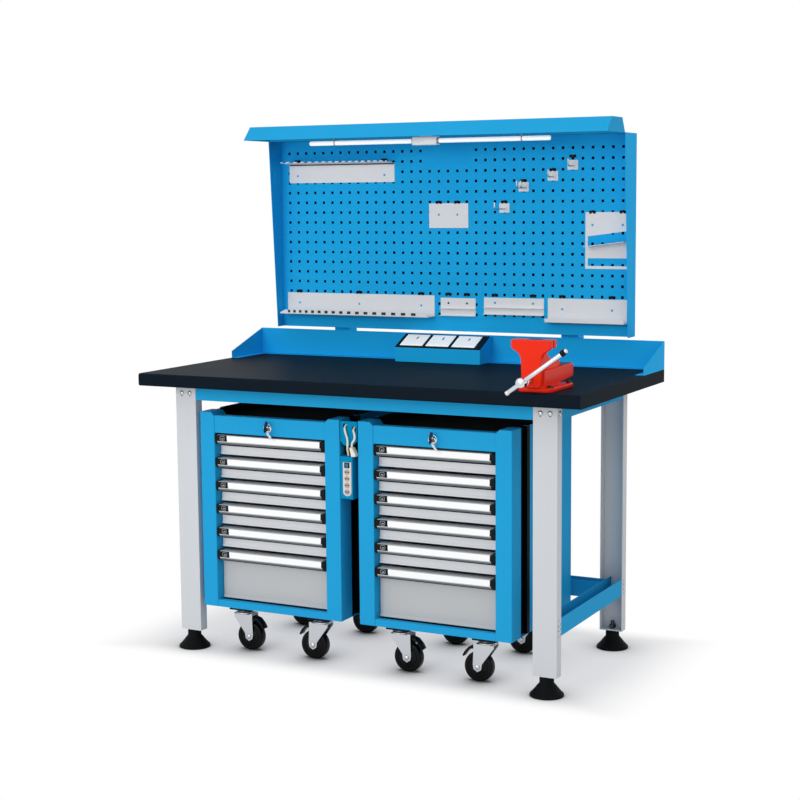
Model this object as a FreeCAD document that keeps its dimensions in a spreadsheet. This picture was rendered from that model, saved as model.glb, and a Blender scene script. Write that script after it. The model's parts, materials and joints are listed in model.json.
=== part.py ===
import FreeCAD, Part
import math
import operator
import os
from types import SimpleNamespace

import Sketcher

# Workbench with a perforated back panel, a bench vise and two roller cabinets.
# Millimetres. X runs to the right, Y to the rear, Z up. The floor is Z = 0 and
# the worktop is centred over the origin.

os.makedirs("parts", exist_ok=True)

doc = FreeCAD.newDocument("Workbench")
sheet = doc.addObject("Spreadsheet::Sheet", "Sizes")
nodes = []

LEFT, RIGHT = -1, 1
FRONT, REAR = -1, 1
SIDES = {"left": LEFT, "right": RIGHT}
ENDS = {"front": FRONT, "rear": REAR}


# Lengths and the sheet

class Length:
    """A number together with the sheet expression that gives it."""

    def __init__(self, value, text):
        self.value = float(value)
        self.text = text

    def joined(self, other, sign, rule):
        other = as_length(other)
        return Length(rule(self.value, other.value), f"({self.text} {sign} {other.text})")

    def __add__(self, other):
        return self.joined(other, "+", operator.add)

    def __radd__(self, other):
        return as_length(other) + self

    def __sub__(self, other):
        return self.joined(other, "-", operator.sub)

    def __rsub__(self, other):
        return as_length(other) - self

    def __mul__(self, other):
        return self.joined(other, "*", operator.mul)

    def __rmul__(self, other):
        return as_length(other) * self

    def __truediv__(self, other):
        return self.joined(other, "/", operator.truediv)

    def __neg__(self):
        return as_length(-1) * self


def as_length(number):
    """Gives a plain number the same form as a size of the sheet."""
    if isinstance(number, Length):
        return number
    return Length(number, f"({float(number)!r})")


def sizes(group, **values):
    """Writes one group of driving sizes into the sheet and returns them by name."""
    named = {}
    for name, value in values.items():
        sizes.row += 1
        alias = f"{group}_{name}"
        sheet.set(f"A{sizes.row}", alias.replace("_", " "))
        sheet.set(f"B{sizes.row}", str(value))
        sheet.setAlias(f"B{sizes.row}", alias)
        named[name] = Length(value, f"Sizes.{alias}")
    return SimpleNamespace(**named)


sizes.row = 0


def bind(thing, path, length):
    """Ties one property of an object to the sheet."""
    thing.setExpression(path, as_length(length).text)


# Solids

AXES = ("x", "y", "z")
ROD_TURNS = {
    "x": FreeCAD.Rotation(FreeCAD.Vector(0, 1, 0), 90),
    "y": FreeCAD.Rotation(FreeCAD.Vector(1, 0, 0), -90),
    "z": FreeCAD.Rotation(),
}
SKETCH_PLANES = {"x": "YZ_Plane", "y": "XZ_Plane", "z": "XY_Plane"}


def box(x, y, z):
    """A block given by its low and high coordinate along each axis."""
    solid = doc.addObject("Part::Box", "Block")
    for axis, side, (low, high) in zip(AXES, ("Length", "Width", "Height"), (x, y, z)):
        bind(solid, side, as_length(high) - low)
        bind(solid, f"Placement.Base.{axis}", low)
    return solid


def rod(axis, x, y, z, radius):
    """A round bar: the coordinate along its axis is a (low, high) pair."""
    solid = doc.addObject("Part::Cylinder", "Rod")
    solid.Placement = FreeCAD.Placement(FreeCAD.Vector(), ROD_TURNS[axis])
    places = dict(zip(AXES, (x, y, z)))
    low, high = places[axis]
    places[axis] = low
    bind(solid, "Radius", radius)
    bind(solid, "Height", as_length(high) - low)
    for name, place in places.items():
        bind(solid, f"Placement.Base.{name}", place)
    return solid


def sketch_of(body, plane, outline):
    """A closed outline, each corner held at its distances from the sketch's origin."""
    sketch = body.newObject("Sketcher::SketchObject", "Outline")
    origin_plane = next(item for item in body.Origin.OriginFeatures if item.Role == plane)
    sketch.AttachmentSupport = [(origin_plane, "")]
    sketch.MapMode = "FlatFace"
    corners = [(as_length(across), as_length(along)) for across, along in outline]
    points = [FreeCAD.Vector(across.value, along.value, 0) for across, along in corners]
    count = len(points)
    for index in range(count):
        sketch.addGeometry(Part.LineSegment(points[index], points[(index + 1) % count]))
    for index in range(count):
        sketch.addConstraint(Sketcher.Constraint("Coincident", index, 2, (index + 1) % count, 1))
    for index, (across, along) in enumerate(corners):
        for kind, name, place in (("DistanceX", "across", across), ("DistanceY", "along", along)):
            number = sketch.addConstraint(Sketcher.Constraint(kind, -1, 1, index, 1, place.value))
            sketch.renameConstraint(number, f"{name}{index}")
            bind(sketch, f"Constraints.{name}{index}", place)
    return sketch


def prism(axis, outline, span):
    """An outline drawn across one axis and padded along it between two coordinates."""
    low, high = span
    body = doc.addObject("PartDesign::Body", "Prism")
    pad = body.newObject("PartDesign::Pad", "Pad")
    pad.Profile = sketch_of(body, SKETCH_PLANES[axis], outline)
    pad.Reversed = axis == "y"
    bind(pad, "Length", as_length(high) - low)
    bind(body, f"Placement.Base.{axis}", low)
    body.Tip = pad
    return body


def turned(axis, outline, x, y, z):
    """A section of (radius, place along the axis) turned about an upright or a Y axis."""
    body = doc.addObject("PartDesign::Body", "Turned")
    turn = body.newObject("PartDesign::Revolution", "Turn")
    profile = sketch_of(body, "XZ_Plane" if axis == "z" else "XY_Plane", outline)
    turn.Profile = profile
    turn.ReferenceAxis = (profile, ["V_Axis"])
    turn.Angle = 360
    for name, place in zip(AXES, (x, y, z)):
        bind(body, f"Placement.Base.{name}", place)
    body.Tip = turn
    return body


def rounded(body, axis, radius, corners):
    """Rounds the edges that run along a prism through the given corners of its outline."""
    doc.recompute()
    base = body.Tip
    across, along = (name for name in AXES if name != axis)
    names = []
    for number, edge in enumerate(base.Shape.Edges, 1):
        ends = [vertex.Point for vertex in edge.Vertexes]
        for corner_across, corner_along in corners:
            if all(abs(getattr(end, across) - as_length(corner_across).value) < 1e-4
                   and abs(getattr(end, along) - as_length(corner_along).value) < 1e-4 for end in ends):
                names.append(f"Edge{number}")
    rounding = body.newObject("PartDesign::Fillet", "Rounding")
    rounding.Base = (base, names)
    bind(rounding, "Radius", radius)
    body.Tip = rounding
    return body


def fuse(*solids):
    """One solid out of several that touch or overlap."""
    joined = doc.addObject("Part::MultiFuse", "Joined")
    joined.Shapes = list(solids)
    joined.Refine = True
    return joined


def cut(base, *tools):
    """The base with every tool taken away."""
    result = doc.addObject("Part::Cut", "Cut")
    result.Base = base
    result.Tool = tools[0] if len(tools) == 1 else fuse(*tools)
    return result


def group(solids):
    """Several separate solids held as one piece."""
    together = doc.addObject("Part::Compound", "Group")
    together.Links = list(solids)
    return together


def square_tube(x, y, z, wall, axis):
    """A rectangular tube that is open at both ends."""
    spans = dict(zip(AXES, (x, y, z)))
    bore = {name: (low + wall, high - wall) for name, (low, high) in spans.items()}
    bore[axis] = spans[axis]
    return cut(box(*spans.values()), box(*bore.values()))


def node(name, solid):
    """Names a finished piece."""
    solid.Label = name
    nodes.append(solid)
    return solid


def channel(upright, near, far, base, mouth, sheet_wall):
    """Outline of a U: base and mouth are its closed and its open side, near and far its flanges.

    Upright, the flanges' places are the first coordinate of each corner, otherwise the second.
    """
    inward = as_length(sheet_wall) * (1 if mouth.value > base.value else -1)
    across = as_length(sheet_wall) * (1 if far.value > near.value else -1)
    corners = [
        (near, mouth),
        (near, base),
        (far, base),
        (far, mouth),
        (far - across, mouth),
        (far - across, base + inward),
        (near + across, base + inward),
        (near + across, mouth),
    ]
    return corners if upright else [(rise, reach) for reach, rise in corners]


# Driving sizes

fit = sizes(
    "fit",
    seat=0.3,
    turning=0.05,
    bolt_hole=0.3,
    running=0.5,
    through=1,
)

top = sizes(
    "top",
    length=1500,
    depth=750,
    height=900,
    thickness=40,
    rounding=8,
)

frame = sizes(
    "frame",
    half_width=655,
    front=306,
    rear=296,
    leg_width=75,
    leg_depth=35,
    leg_wall=2.5,
    leg_bottom=59,
    end_plate=4,
    rail_wall=2,
    rail_height=46,
    rail_depth=30,
    side_rail_width=62,
    face_step=1.5,
    low_rail_bottom=177,
    low_rail_height=54,
    low_rail_width=47.5,
    low_rear_rail_front=200,
)

bolt = sizes(
    "bolt",
    shank_radius=4,
    head_radius=8,
    head_height=4,
    nut_radius=6.5,
    nut_height=6,
    end_length=2,
    pair_spacing=30,
    top_drop=31,
    side_inset=19,
    low_count=3,
    low_first=189,
    low_step=15,
)

foot = sizes(
    "foot",
    base_radius=53,
    base_chamfer=2,
    base_rim=8,
    neck_radius=22,
    cone_height=50,
    stud_radius=6,
    stud_top=132,
    nut_radius=10,
)

rim = sizes(
    "rim",
    wall=1.5,
    height=90,
    front_height=23,
    side_start=172,
    rear_foot=30,
    side_foot=28,
)

panel = sizes(
    "panel",
    half_width=648,
    wall=1.5,
    face=358,
    rear=385,
    bottom=1001,
    top=1644,
    cheek_front_top=276,
    cheek_front_bottom=317,
    hole=9,
    pitch=34.1,
    first_row=1604,
)

post = sizes(
    "post",
    offset=425,
    width=60,
    depth=50,
    wall=2,
    bottom=820,
    head_gap=4,
    arm_bottom=826,
    arm_height=30,
)

hood = sizes(
    "hood",
    wall=1.2,
    front_bottom=114,
    front_top=156,
    rear_top=251,
    rear_bottom=277,
    height=46,
    tab_front=281,
    tab_depth=40,
    tab_drop=32,
)

lamp = sizes(
    "lamp",
    centre=192,
    height=1631,
    tube_radius=7.5,
    half_length=433,
    housing_half=43.5,
    housing_size=28,
    batten_width=30,
    batten_height=26,
    batten_half=440,
    clip_offset=337,
    clip_width=8,
    clip_wall=2,
    stem_width=10,
)

outlet = sizes(
    "outlet",
    left=-162,
    right=152,
    front=275,
    shoulder=358,
    front_height=48,
    rear_height=85,
    plate_wall=3,
    cover_wall=2,
    margin=8,
    cover_gap=14,
)

vise = sizes(
    "vise",
    centre=601,
    axis_height=37,
    base_half=54,
    base_front=356,
    base_rear=165,
    base_height=12,
    body_half=33,
    body_front=340,
    body_rear=126,
    body_top=62,
    anvil_top=66,
    anvil_bottom=24,
    notch_depth=247,
    shoulder_half=24,
    shoulder_top=84,
    shoulder_rear=215,
    shoulder_run=20,
    shoulder_rise=8,
    jaw_face=352,
    jaw_depth=24,
    jaw_half=60,
    jaw_top=150,
    jaw_bar=24,
    neck_half=30,
    neck_flare=13.5,
    bar_half=22,
    bar_wall=6,
    bar_bottom=17,
    bar_top=57,
    bar_rear=135,
    screw_radius=9,
    screw_rear=205,
    nut_half=13,
    nut_top=49,
    nut_front=330,
    nut_rear=296,
    hub_place=440,
    hub_length=30,
    hub_radius=15,
    collar_radius=13,
    lever_radius=5,
    lever_slope=35.5,
    lever_low=58,
    lever_high=163,
    cap_radius=9,
    cap_length=11,
    tip_radius=6.75,
    tip_length=7,
    end_radius=6.5,
    end_length=5.4,
    lug_offset=40,
    lug_front=322.5,
    lug_rear=182.5,
    lug_radius=6,
    lug_height=8,
)

rack = sizes(
    "rack",
    wall=1.5,
    clip_width=22,
    clip_height=12,
    clip_wall=2.5,
    prong=5,
    prong_reach=12,
    spy_hole=4,
    middle_drop=6,
)

cabinet = sizes(
    "cabinet",
    width=507,
    depth=478,
    front=310,
    left_start=561.5,
    right_start=9,
    bottom=149,
    top=780,
    wall=1.2,
    post_width=52.5,
    post_depth=70,
    corner=12,
    strip_width=46,
    strip_inset=14,
    front_step=2,
    foot_rail=22.5,
    foot_rail_depth=18,
    fascia_top=770,
    fascia_bottom=714,
    lip_depth=30,
    tray_floor=752,
    runner_width=12,
    runner_height=10,
    block_length=80,
    block_width=60,
    block_height=18,
)

drawer = sizes(
    "drawer",
    pitch=75,
    count_shallow=5,
    top_gap=6,
    bottom_gap=1.5,
    side_gap=2,
    handle_height=34,
    handle_depth=34,
    handle_wall=3,
    lip_height=14,
    lip_depth=11,
    wall=1.2,
    length=398,
    floor_gap=5,
    flange_drop=20,
)

lock = sizes(
    "lock",
    height=736,
    radius=10,
    barrel_radius=8.5,
    rosette=2,
    barrel_length=22,
    cam_length=22,
    cam_width=9,
    cam_wall=2.5,
    key_reach=10,
    key_wall=2,
    key_width=8,
    bow_width=20,
    bow_height=24,
    bow_wall=4,
)

caster = sizes(
    "caster",
    spread=145,
    front_place=70,
    rear_place=68,
    trail=26,
    wheel_radius=46.5,
    wheel_width=28,
    tread_rounding=4,
    hub_width=31,
    hub_radius=15,
    hub_step=4,
    axle_radius=4,
    cheek_inner=17,
    cheek_wall=2.5,
    cheek_foot_radius=11,
    cheek_reach=39,
    cheek_shoulder=98,
    crown_bottom=117,
    race_radius=28,
    race_bottom=121,
    pin_radius=5,
    pin_reach=14,
    cap_radius=8,
    cap_height=4,
    pedal_pivot=33,
    pedal_height=106,
    pedal_pin=3,
    pedal_hub=6,
    pedal_root=3,
    pedal_bend=24,
    pedal_bend_wall=5,
    pedal_wall=4,
    pedal_half=12,
    pedal_reach=79,
    pedal_drop=34,
)

strip = sizes(
    "strip",
    bracket_width=45.5,
    bracket_bottom=536,
    bracket_top=670,
    bracket_front=309,
    bracket_depth=52,
    wall=1.5,
    left=11,
    width=29,
    bottom=546,
    top=651,
    rise=2,
    gland_radius=5.5,
    gland_height=17,
    plate_face=308,
    plate_wall=2,
    plate_width=60.5,
    plate_bottom=701,
    plate_top=777,
    plate_flange=30,
    plate_shoulder=17.5,
    plate_corner=3,
    plate_corner_inset=13,
    plate_foot_inset=23,
    hole_radius=8,
    hole_left_x=-35,
    hole_left_z=762,
    hole_right_x=-4.5,
    hole_right_z=755,
    cord_radius=3.25,
    plug_width=14,
    plug_depth=20,
    plug_height=28,
    plug_top=10,
    plug_foot=9,
    plug_reach=16,
    sleeve_wall=1.5,
    sleeve_height=2,
)


# Derived places of the bench

half_length = top.length / 2
half_depth = top.depth / 2
top_under = top.height - top.thickness
rail_bottom = top_under - frame.rail_height
leg_centre = frame.half_width - frame.leg_width / 2
leg_inner = frame.half_width - frame.leg_width
flange_inner = frame.half_width - frame.leg_wall
web_places = {FRONT: -frame.front, REAR: frame.rear}


def web_inside(end):
    """Inner face of a leg's web, where the rails end."""
    return web_places[end] - end * frame.leg_wall


def foot_place(side, end):
    """Centre of a foot, under the middle of its leg's channel."""
    return side * leg_centre, web_places[end] - end * frame.leg_depth / 2


# Bench

def worktop():
    """The board, with its front edges rounded."""
    front_edges = [(-half_depth, top_under), (-half_depth, top.height)]
    rear_edges = [(half_depth, top.height), (half_depth, top_under)]
    board = prism("x", front_edges + rear_edges, (-half_length, half_length))
    return rounded(board, "x", top.rounding, front_edges)


def leg(side, end):
    """A channel with its web outside and a plate across its lower end for the foot."""
    web = web_places[end]
    open_side = web - end * frame.leg_depth
    outline = channel(True, side * leg_inner, side * frame.half_width, web, open_side, frame.leg_wall)
    post_solid = prism("z", outline, (frame.leg_bottom, top_under))
    inner, outer = ordered(side * (leg_inner + frame.leg_wall), side * flange_inner)
    low, high = ordered(web_inside(end), open_side)
    plate = box((inner, outer), (low, high), (frame.leg_bottom, frame.leg_bottom + frame.end_plate))
    across, along = foot_place(side, end)
    reach = (frame.leg_bottom - fit.seat, frame.leg_bottom + frame.end_plate + fit.seat)
    hole = rod("z", across, along, reach, foot.stud_radius + fit.turning)
    return cut(fuse(post_solid, plate), hole)


def ordered(first, second):
    """Two places, the lower one first."""
    return (first, second) if first.value < second.value else (second, first)


def bolt_places():
    """Each frame bolt: its axis, the outer face that its head meets, and its other two places."""
    places = []
    for side in SIDES.values():
        for end in ENDS.values():
            across, along = foot_place(side, end)
            height = top_under - bolt.top_drop
            for offset in (-bolt.pair_spacing / 2, bolt.pair_spacing / 2):
                places.append(("y", end, web_places[end], across + offset, height))
            inset = web_places[end] - end * bolt.side_inset
            places.append(("x", side, side * frame.half_width, inset, height))
            for step in range(int(bolt.low_count.value)):
                low = bolt.low_first + step * bolt.low_step
                places.append(("x", side, side * frame.half_width, along, low))
    return places


def bolt_rod(place, start, length, radius):
    """A bar on a bolt's axis, from a depth behind the outer face inwards."""
    axis, outward, face, other, height = place
    span = ordered(face - outward * start, face - outward * (start + length))
    if axis == "y":
        return rod("y", other, span, height, radius)
    return rod("x", span, other, height, radius)


def frame_bolts():
    """Round-headed bolts with their nuts, one solid each."""
    grip = frame.leg_wall + frame.rail_wall
    bolts = []
    for place in bolt_places():
        head = bolt_rod(place, -bolt.head_height, bolt.head_height, bolt.head_radius)
        shank = bolt_rod(place, as_length(0), grip + bolt.nut_height + bolt.end_length, bolt.shank_radius)
        nut = bolt_rod(place, grip, bolt.nut_height, bolt.nut_radius)
        bolts.append(fuse(head, shank, nut))
    return group(bolts)


def bolt_drill():
    """The holes that the frame bolts pass through."""
    depth = frame.leg_wall + frame.rail_wall + 2 * fit.seat
    radius = bolt.shank_radius + fit.bolt_hole / 2
    return group([bolt_rod(place, -fit.seat, depth, radius) for place in bolt_places()])


def low_side_rail(side):
    """The low rail between a front and a rear leg, open at its top."""
    bottom = frame.low_rail_bottom
    outline = channel(
        True,
        side * flange_inner,
        side * (flange_inner - frame.low_rail_width),
        bottom,
        bottom + frame.low_rail_height,
        frame.rail_wall,
    )
    return prism("y", outline, (web_inside(FRONT), web_inside(REAR)))


def low_rear_rail():
    """The low rail between the two side rails."""
    near = frame.low_rear_rail_front
    bottom = frame.low_rail_bottom
    outline = channel(
        True, near, near + frame.low_rail_width, bottom, bottom + frame.low_rail_height, frame.rail_wall
    )
    reach = flange_inner - frame.low_rail_width
    return prism("x", outline, (-reach, reach))


def top_side_rail(side):
    """The rail under the worktop's end, open inwards, with a plate against each leg's web."""
    inner = side * (flange_inner - frame.side_rail_width)
    outline = channel(False, rail_bottom, top_under, side * flange_inner, inner, frame.rail_wall)
    rail = prism("y", outline, (web_inside(FRONT), web_inside(REAR)))
    across = ordered(inner, side * (flange_inner - frame.rail_wall))
    height = (rail_bottom + frame.rail_wall, top_under - frame.rail_wall)
    plates = []
    for end in ENDS.values():
        along = ordered(web_inside(end), web_inside(end) - end * frame.rail_wall)
        plates.append(box(across, along, height))
    return fuse(rail, *plates)


def cross_rail(end):
    """The apron in front or the rail at the rear, between the legs under the worktop."""
    face = web_places[end] - end * frame.face_step
    outline = channel(False, rail_bottom, top_under, face, face - end * frame.rail_depth, frame.rail_wall)
    return prism("x", outline, (-leg_inner, leg_inner))


def upstand():
    """Sheet round the rear of the worktop: a wall, two sloping returns and their feet."""
    base = top.height
    rear_inner = half_depth - rim.wall
    end_inner = half_length - rim.wall
    foot_top = base + rim.wall
    rear_wall = box((-half_length, half_length), (rear_inner, half_depth), (base, base + rim.height))
    rear_foot = box((-half_length, half_length), (half_depth - rim.rear_foot, half_depth), (base, foot_top))
    parts = [rear_wall, rear_foot]
    for side in SIDES.values():
        slope = [
            (rim.side_start, base),
            (half_depth, base),
            (half_depth, base + rim.height),
            (rim.side_start, base + rim.front_height),
        ]
        parts.append(prism("x", slope, ordered(side * end_inner, side * half_length)))
        across = ordered(side * (half_length - rim.side_foot), side * half_length)
        parts.append(box(across, (rim.side_start, half_depth), (base, foot_top)))
    return fuse(*parts)


# Back panel

def hole_place(column, row):
    """Centre of a square hole: columns count to the right from the middle, rows down from the top."""
    return panel.pitch * column, panel.first_row - panel.pitch * row


def perforated_panel():
    """The flat face with its grid of square holes and a bare field at the top middle."""
    columns, rows = 18, 17
    field_columns, field_rows = 2, 2
    inner = panel.half_width.value - panel.wall.value
    half_hole = panel.hole.value / 2

    def rectangle(low_x, high_x, low_z, high_z):
        corners = [(low_x, low_z), (high_x, low_z), (high_x, high_z), (low_x, high_z), (low_x, low_z)]
        return Part.makePolygon([FreeCAD.Vector(x, panel.face.value, z) for x, z in corners])

    wires = [rectangle(-inner, inner, panel.bottom.value, panel.top.value)]
    for row in range(rows):
        for column in range(-columns, columns + 1):
            if row < field_rows and abs(column) <= field_columns:
                continue
            x, z = (place.value for place in hole_place(column, row))
            wires.append(rectangle(x - half_hole, x + half_hole, z - half_hole, z + half_hole))
    face = Part.makeFace(wires, "Part::FaceMakerBullseye")
    plate = doc.addObject("Part::Feature", "HoledPlate")
    plate.Shape = face.extrude(FreeCAD.Vector(0, panel.wall.value, 0))
    return plate


def panel_frame():
    """Two tapered cheeks with lips and a rear sheet between them, and two posts to the rear rail."""
    inner = panel.half_width - panel.wall
    behind = panel.face + panel.wall
    slope = [
        (panel.cheek_front_bottom, panel.bottom),
        (panel.rear, panel.bottom),
        (panel.rear, panel.top),
        (panel.cheek_front_top, panel.top),
    ]
    parts = [prism("x", slope, ordered(side * inner, side * panel.half_width)) for side in SIDES.values()]
    for edge, inward in ((panel.bottom, 1), (panel.top, -1)):
        lip = ordered(edge, edge + inward * panel.wall)
        parts.append(box((-inner, inner), (behind, panel.rear), lip))
    rear_sheet = (panel.rear - panel.wall, panel.rear)
    parts.append(box((-inner, inner), rear_sheet, (panel.bottom, panel.top)))
    solids = [fuse(*parts)]
    depth = (panel.rear, panel.rear + post.depth)
    height = (post.bottom, panel.top - post.head_gap)
    arm_reach = (frame.rear - frame.face_step, panel.rear)
    arm_height = (post.arm_bottom, post.arm_bottom + post.arm_height)
    for side in SIDES.values():
        across = (side * post.offset - post.width / 2, side * post.offset + post.width / 2)
        upright = square_tube(across, depth, height, post.wall, "z")
        arm = square_tube(across, arm_reach, arm_height, post.wall, "y")
        solids.append(fuse(upright, arm))
    return group(solids)


def canopy():
    """Folded sheet over the lamp, open below, with a cover to the rear and a tab inside each cheek."""
    reach = panel.half_width - panel.wall
    low = panel.top
    high = low + hood.height
    outline = [
        (hood.front_bottom, low),
        (hood.rear_bottom, low),
        (hood.rear_top, high),
        (hood.front_top, high),
    ]
    body = prism("x", outline, (-reach, reach))
    doc.recompute()
    pad = body.Tip
    mouth = min(range(len(pad.Shape.Faces)), key=lambda index: pad.Shape.Faces[index].CenterOfMass.z)
    shell = body.newObject("PartDesign::Thickness", "Shell")
    shell.Base = (pad, [f"Face{mouth + 1}"])
    shell.Join = 1
    shell.Reversed = True
    bind(shell, "Value", hood.wall)
    body.Tip = shell
    cover = box((-reach, reach), (hood.rear_bottom - hood.wall, panel.rear), (low, low + hood.wall))
    tab_y = (hood.tab_front, hood.tab_front + hood.tab_depth)
    tab_z = (low - hood.tab_drop, low + hood.wall)
    tabs = [box(ordered(side * (reach - hood.wall), side * reach), tab_y, tab_z) for side in SIDES.values()]
    return fuse(body, cover, *tabs)


def strip_lamp():
    """A batten under the canopy with a middle housing and a clipped tube to each side."""
    ceiling = panel.top + hood.height - hood.wall
    half_size = lamp.housing_size / 2
    stem_half = lamp.stem_width / 2
    batten_low = ceiling - lamp.batten_height
    half_batten = lamp.batten_width / 2
    batten = box(
        (-lamp.batten_half, lamp.batten_half),
        (lamp.centre - half_batten, lamp.centre + half_batten),
        (batten_low, ceiling),
    )
    housing = box(
        (-lamp.housing_half, lamp.housing_half),
        (lamp.centre - half_size, lamp.centre + half_size),
        (lamp.height - half_size, lamp.height + half_size),
    )
    neck = box(
        (-lamp.housing_half / 2, lamp.housing_half / 2),
        (lamp.centre - stem_half, lamp.centre + stem_half),
        (lamp.height + half_size, batten_low),
    )
    parts = [batten, housing, neck]
    tubes = []
    for side in SIDES.values():
        place = side * lamp.clip_offset
        across = (place - lamp.clip_width / 2, place + lamp.clip_width / 2)
        ring = rod("x", across, lamp.centre, lamp.height, lamp.tube_radius + lamp.clip_wall)
        stem = box(across, (lamp.centre - stem_half, lamp.centre + stem_half), (lamp.height, batten_low))
        bore = rod("x", across, lamp.centre, lamp.height, lamp.tube_radius + fit.turning)
        parts.append(cut(fuse(ring, stem), bore))
        reach = ordered(side * lamp.housing_half, side * lamp.half_length)
        tubes.append(rod("x", reach, lamp.centre, lamp.height, lamp.tube_radius))
    return group([fuse(*parts), *tubes])


def socket_box():
    """A wedge against the upstand: its case, a sloping plate and three covers."""
    base = top.height
    rear = half_depth - rim.wall
    foot_front = half_depth - rim.rear_foot
    foot_top = base + rim.wall
    front_top = base + outlet.front_height
    rear_top = base + outlet.rear_height

    def slope(along):
        run = (along - outlet.front) / (outlet.shoulder - outlet.front)
        return front_top + run * (rear_top - front_top)

    case = prism(
        "x",
        [
            (outlet.front, base),
            (foot_front, base),
            (foot_front, foot_top),
            (rear, foot_top),
            (rear, rear_top),
            (outlet.shoulder, rear_top),
            (outlet.front, front_top),
        ],
        (outlet.left, outlet.right),
    )

    def leaf(span, inset, low, wall):
        near = outlet.front + inset
        far = outlet.shoulder - inset
        corners = [
            (near, slope(near) + low),
            (far, slope(far) + low),
            (far, slope(far) + low + wall),
            (near, slope(near) + low + wall),
        ]
        return prism("x", corners, span)

    solids = [case, leaf((outlet.left, outlet.right), as_length(0), as_length(0), outlet.plate_wall)]
    count = 3
    width = (outlet.right - outlet.left - 2 * outlet.margin - (count - 1) * outlet.cover_gap) / count
    for number in range(count):
        left = outlet.left + outlet.margin + number * (width + outlet.cover_gap)
        solids.append(leaf((left, left + width), outlet.margin, outlet.plate_wall, outlet.cover_wall))
    return group(solids)


# Holders that hook on the panel

plate_reach = (panel.face - rack.wall - fit.through, panel.face + fit.through)


def clips(columns, row, plate_top):
    """The hooks of a holder: each lies on the plate and reaches through a hole of the panel."""
    parts = []
    half = rack.clip_width / 2
    prong = rack.prong / 2
    front = panel.face - rack.wall
    for column in columns:
        across, height = hole_place(column, row)
        width = (across - half, across + half)
        low = plate_top - rack.clip_height / 2
        high = height + prong
        parts.append(box(width, (front - rack.clip_wall, front), (low, height)))
        parts.append(box(width, (front - rack.clip_wall, panel.face), (plate_top, high)))
        reach = (front, panel.face + rack.prong_reach)
        parts.append(box((across - prong, across + prong), reach, (height - prong, high)))
    return parts


def plate_with_hooks(x, z, columns, row, spy_height, extra=(), holes=()):
    """A holder: a flat plate on the panel with its hooks, small round holes and own extras."""
    across = tuple(as_length(place) for place in x)
    height = tuple(as_length(place) for place in z)
    plate = box(across, (panel.face - rack.wall, panel.face), height)
    drills = list(holes)
    for column in columns:
        place, _ = hole_place(column, row)
        drills.append(rod("y", place, plate_reach, spy_height, rack.spy_hole))
    return fuse(cut(plate, *drills), *clips(columns, row, height[1]), *extra)


bit_rail = sizes(
    "bit_rail",
    left=-613,
    right=-200,
    bottom=1502,
    top=1567,
    spy=1526,
    ledge=60,
    rise=7,
    lip=4,
    first=14,
    step=29.5,
    growth=-0.5,
    slot_share=0.5,
    slot_depth=14,
)
wrench_rack = sizes(
    "wrench_rack",
    left=-628,
    right=-52,
    bottom=1049,
    top=1120,
    spy=1085,
    ledge=55,
    lip=14,
    rim=4,
    corner=20,
    first=36,
    step=22,
    growth=1.12,
    slot_share=0.45,
    slot_depth=21,
)
plate_holder = sizes("plate_holder", left=-70, right=74, bottom=1347, top=1429, spy=1391)
short_ledge = sizes("short_ledge", left=-29, right=100, bottom=1053, top=1113, ledge=10, spy=1096)
long_ledge = sizes("long_ledge", left=131, right=345, bottom=1061, top=1117, ledge=10, spy=1100)
pliers_tray = sizes(
    "pliers_tray", left=359, right=630, bottom=1041, top=1119, ledge=30, lip=14, spy=1084
)
bracket_plate = sizes(
    "bracket_plate",
    left=488,
    right=640,
    bottom=1217,
    top=1398,
    spy=1357,
    frame_width=8,
    slot_low=1289,
    slot_high=1321,
    slot_rise=17,
    window_low=1226,
    window_high=1251,
    shelf=40,
)
wire_hook = sizes(
    "wire_hook", size=36, level=12, radius=2.5, long_reach=80, short_reach=40, tip=22, spread=14
)


def ledge(x, z_low, depth):
    """A shelf that stands forward of a holder's plate."""
    front = panel.face - rack.wall - depth
    return box(x, (front, panel.face - rack.wall), (z_low, z_low + rack.wall))


def slot_spans(holder, count):
    """Left and right end of each slot along a ledge, the steps between them changing evenly."""
    spans = []
    for number in range(count):
        middle = holder.left + holder.first + holder.step * number
        middle = middle + holder.growth * (number * (number - 1) / 2)
        half = (holder.step + holder.growth * number) * holder.slot_share / 2
        spans.append((middle - half, middle + half))
    return spans


def bit_rail_solid():
    """A plate whose top edge folds forward and up, with a row of open slots for bits."""
    slot_count = 16
    front = panel.face - rack.wall
    tip = front - bit_rail.ledge
    crest = bit_rail.top + bit_rail.rise
    outline = [
        (front, bit_rail.top - rack.wall),
        (tip, crest - rack.wall),
        (tip, crest + bit_rail.lip),
        (tip + rack.wall, crest + bit_rail.lip),
        (tip + rack.wall, crest),
        (front, bit_rail.top),
    ]
    shelf = prism("x", outline, (bit_rail.left, bit_rail.right))
    reach = (tip - fit.through, tip + bit_rail.slot_depth)
    slot_height = (bit_rail.top, crest + bit_rail.lip + fit.through)
    slots = [box(across, reach, slot_height) for across in slot_spans(bit_rail, slot_count)]
    height = (bit_rail.bottom, bit_rail.top)
    comb = cut(shelf, group(slots))
    return plate_with_hooks((bit_rail.left, bit_rail.right), height, (-17, -7), 1, bit_rail.spy, [comb])


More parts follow.
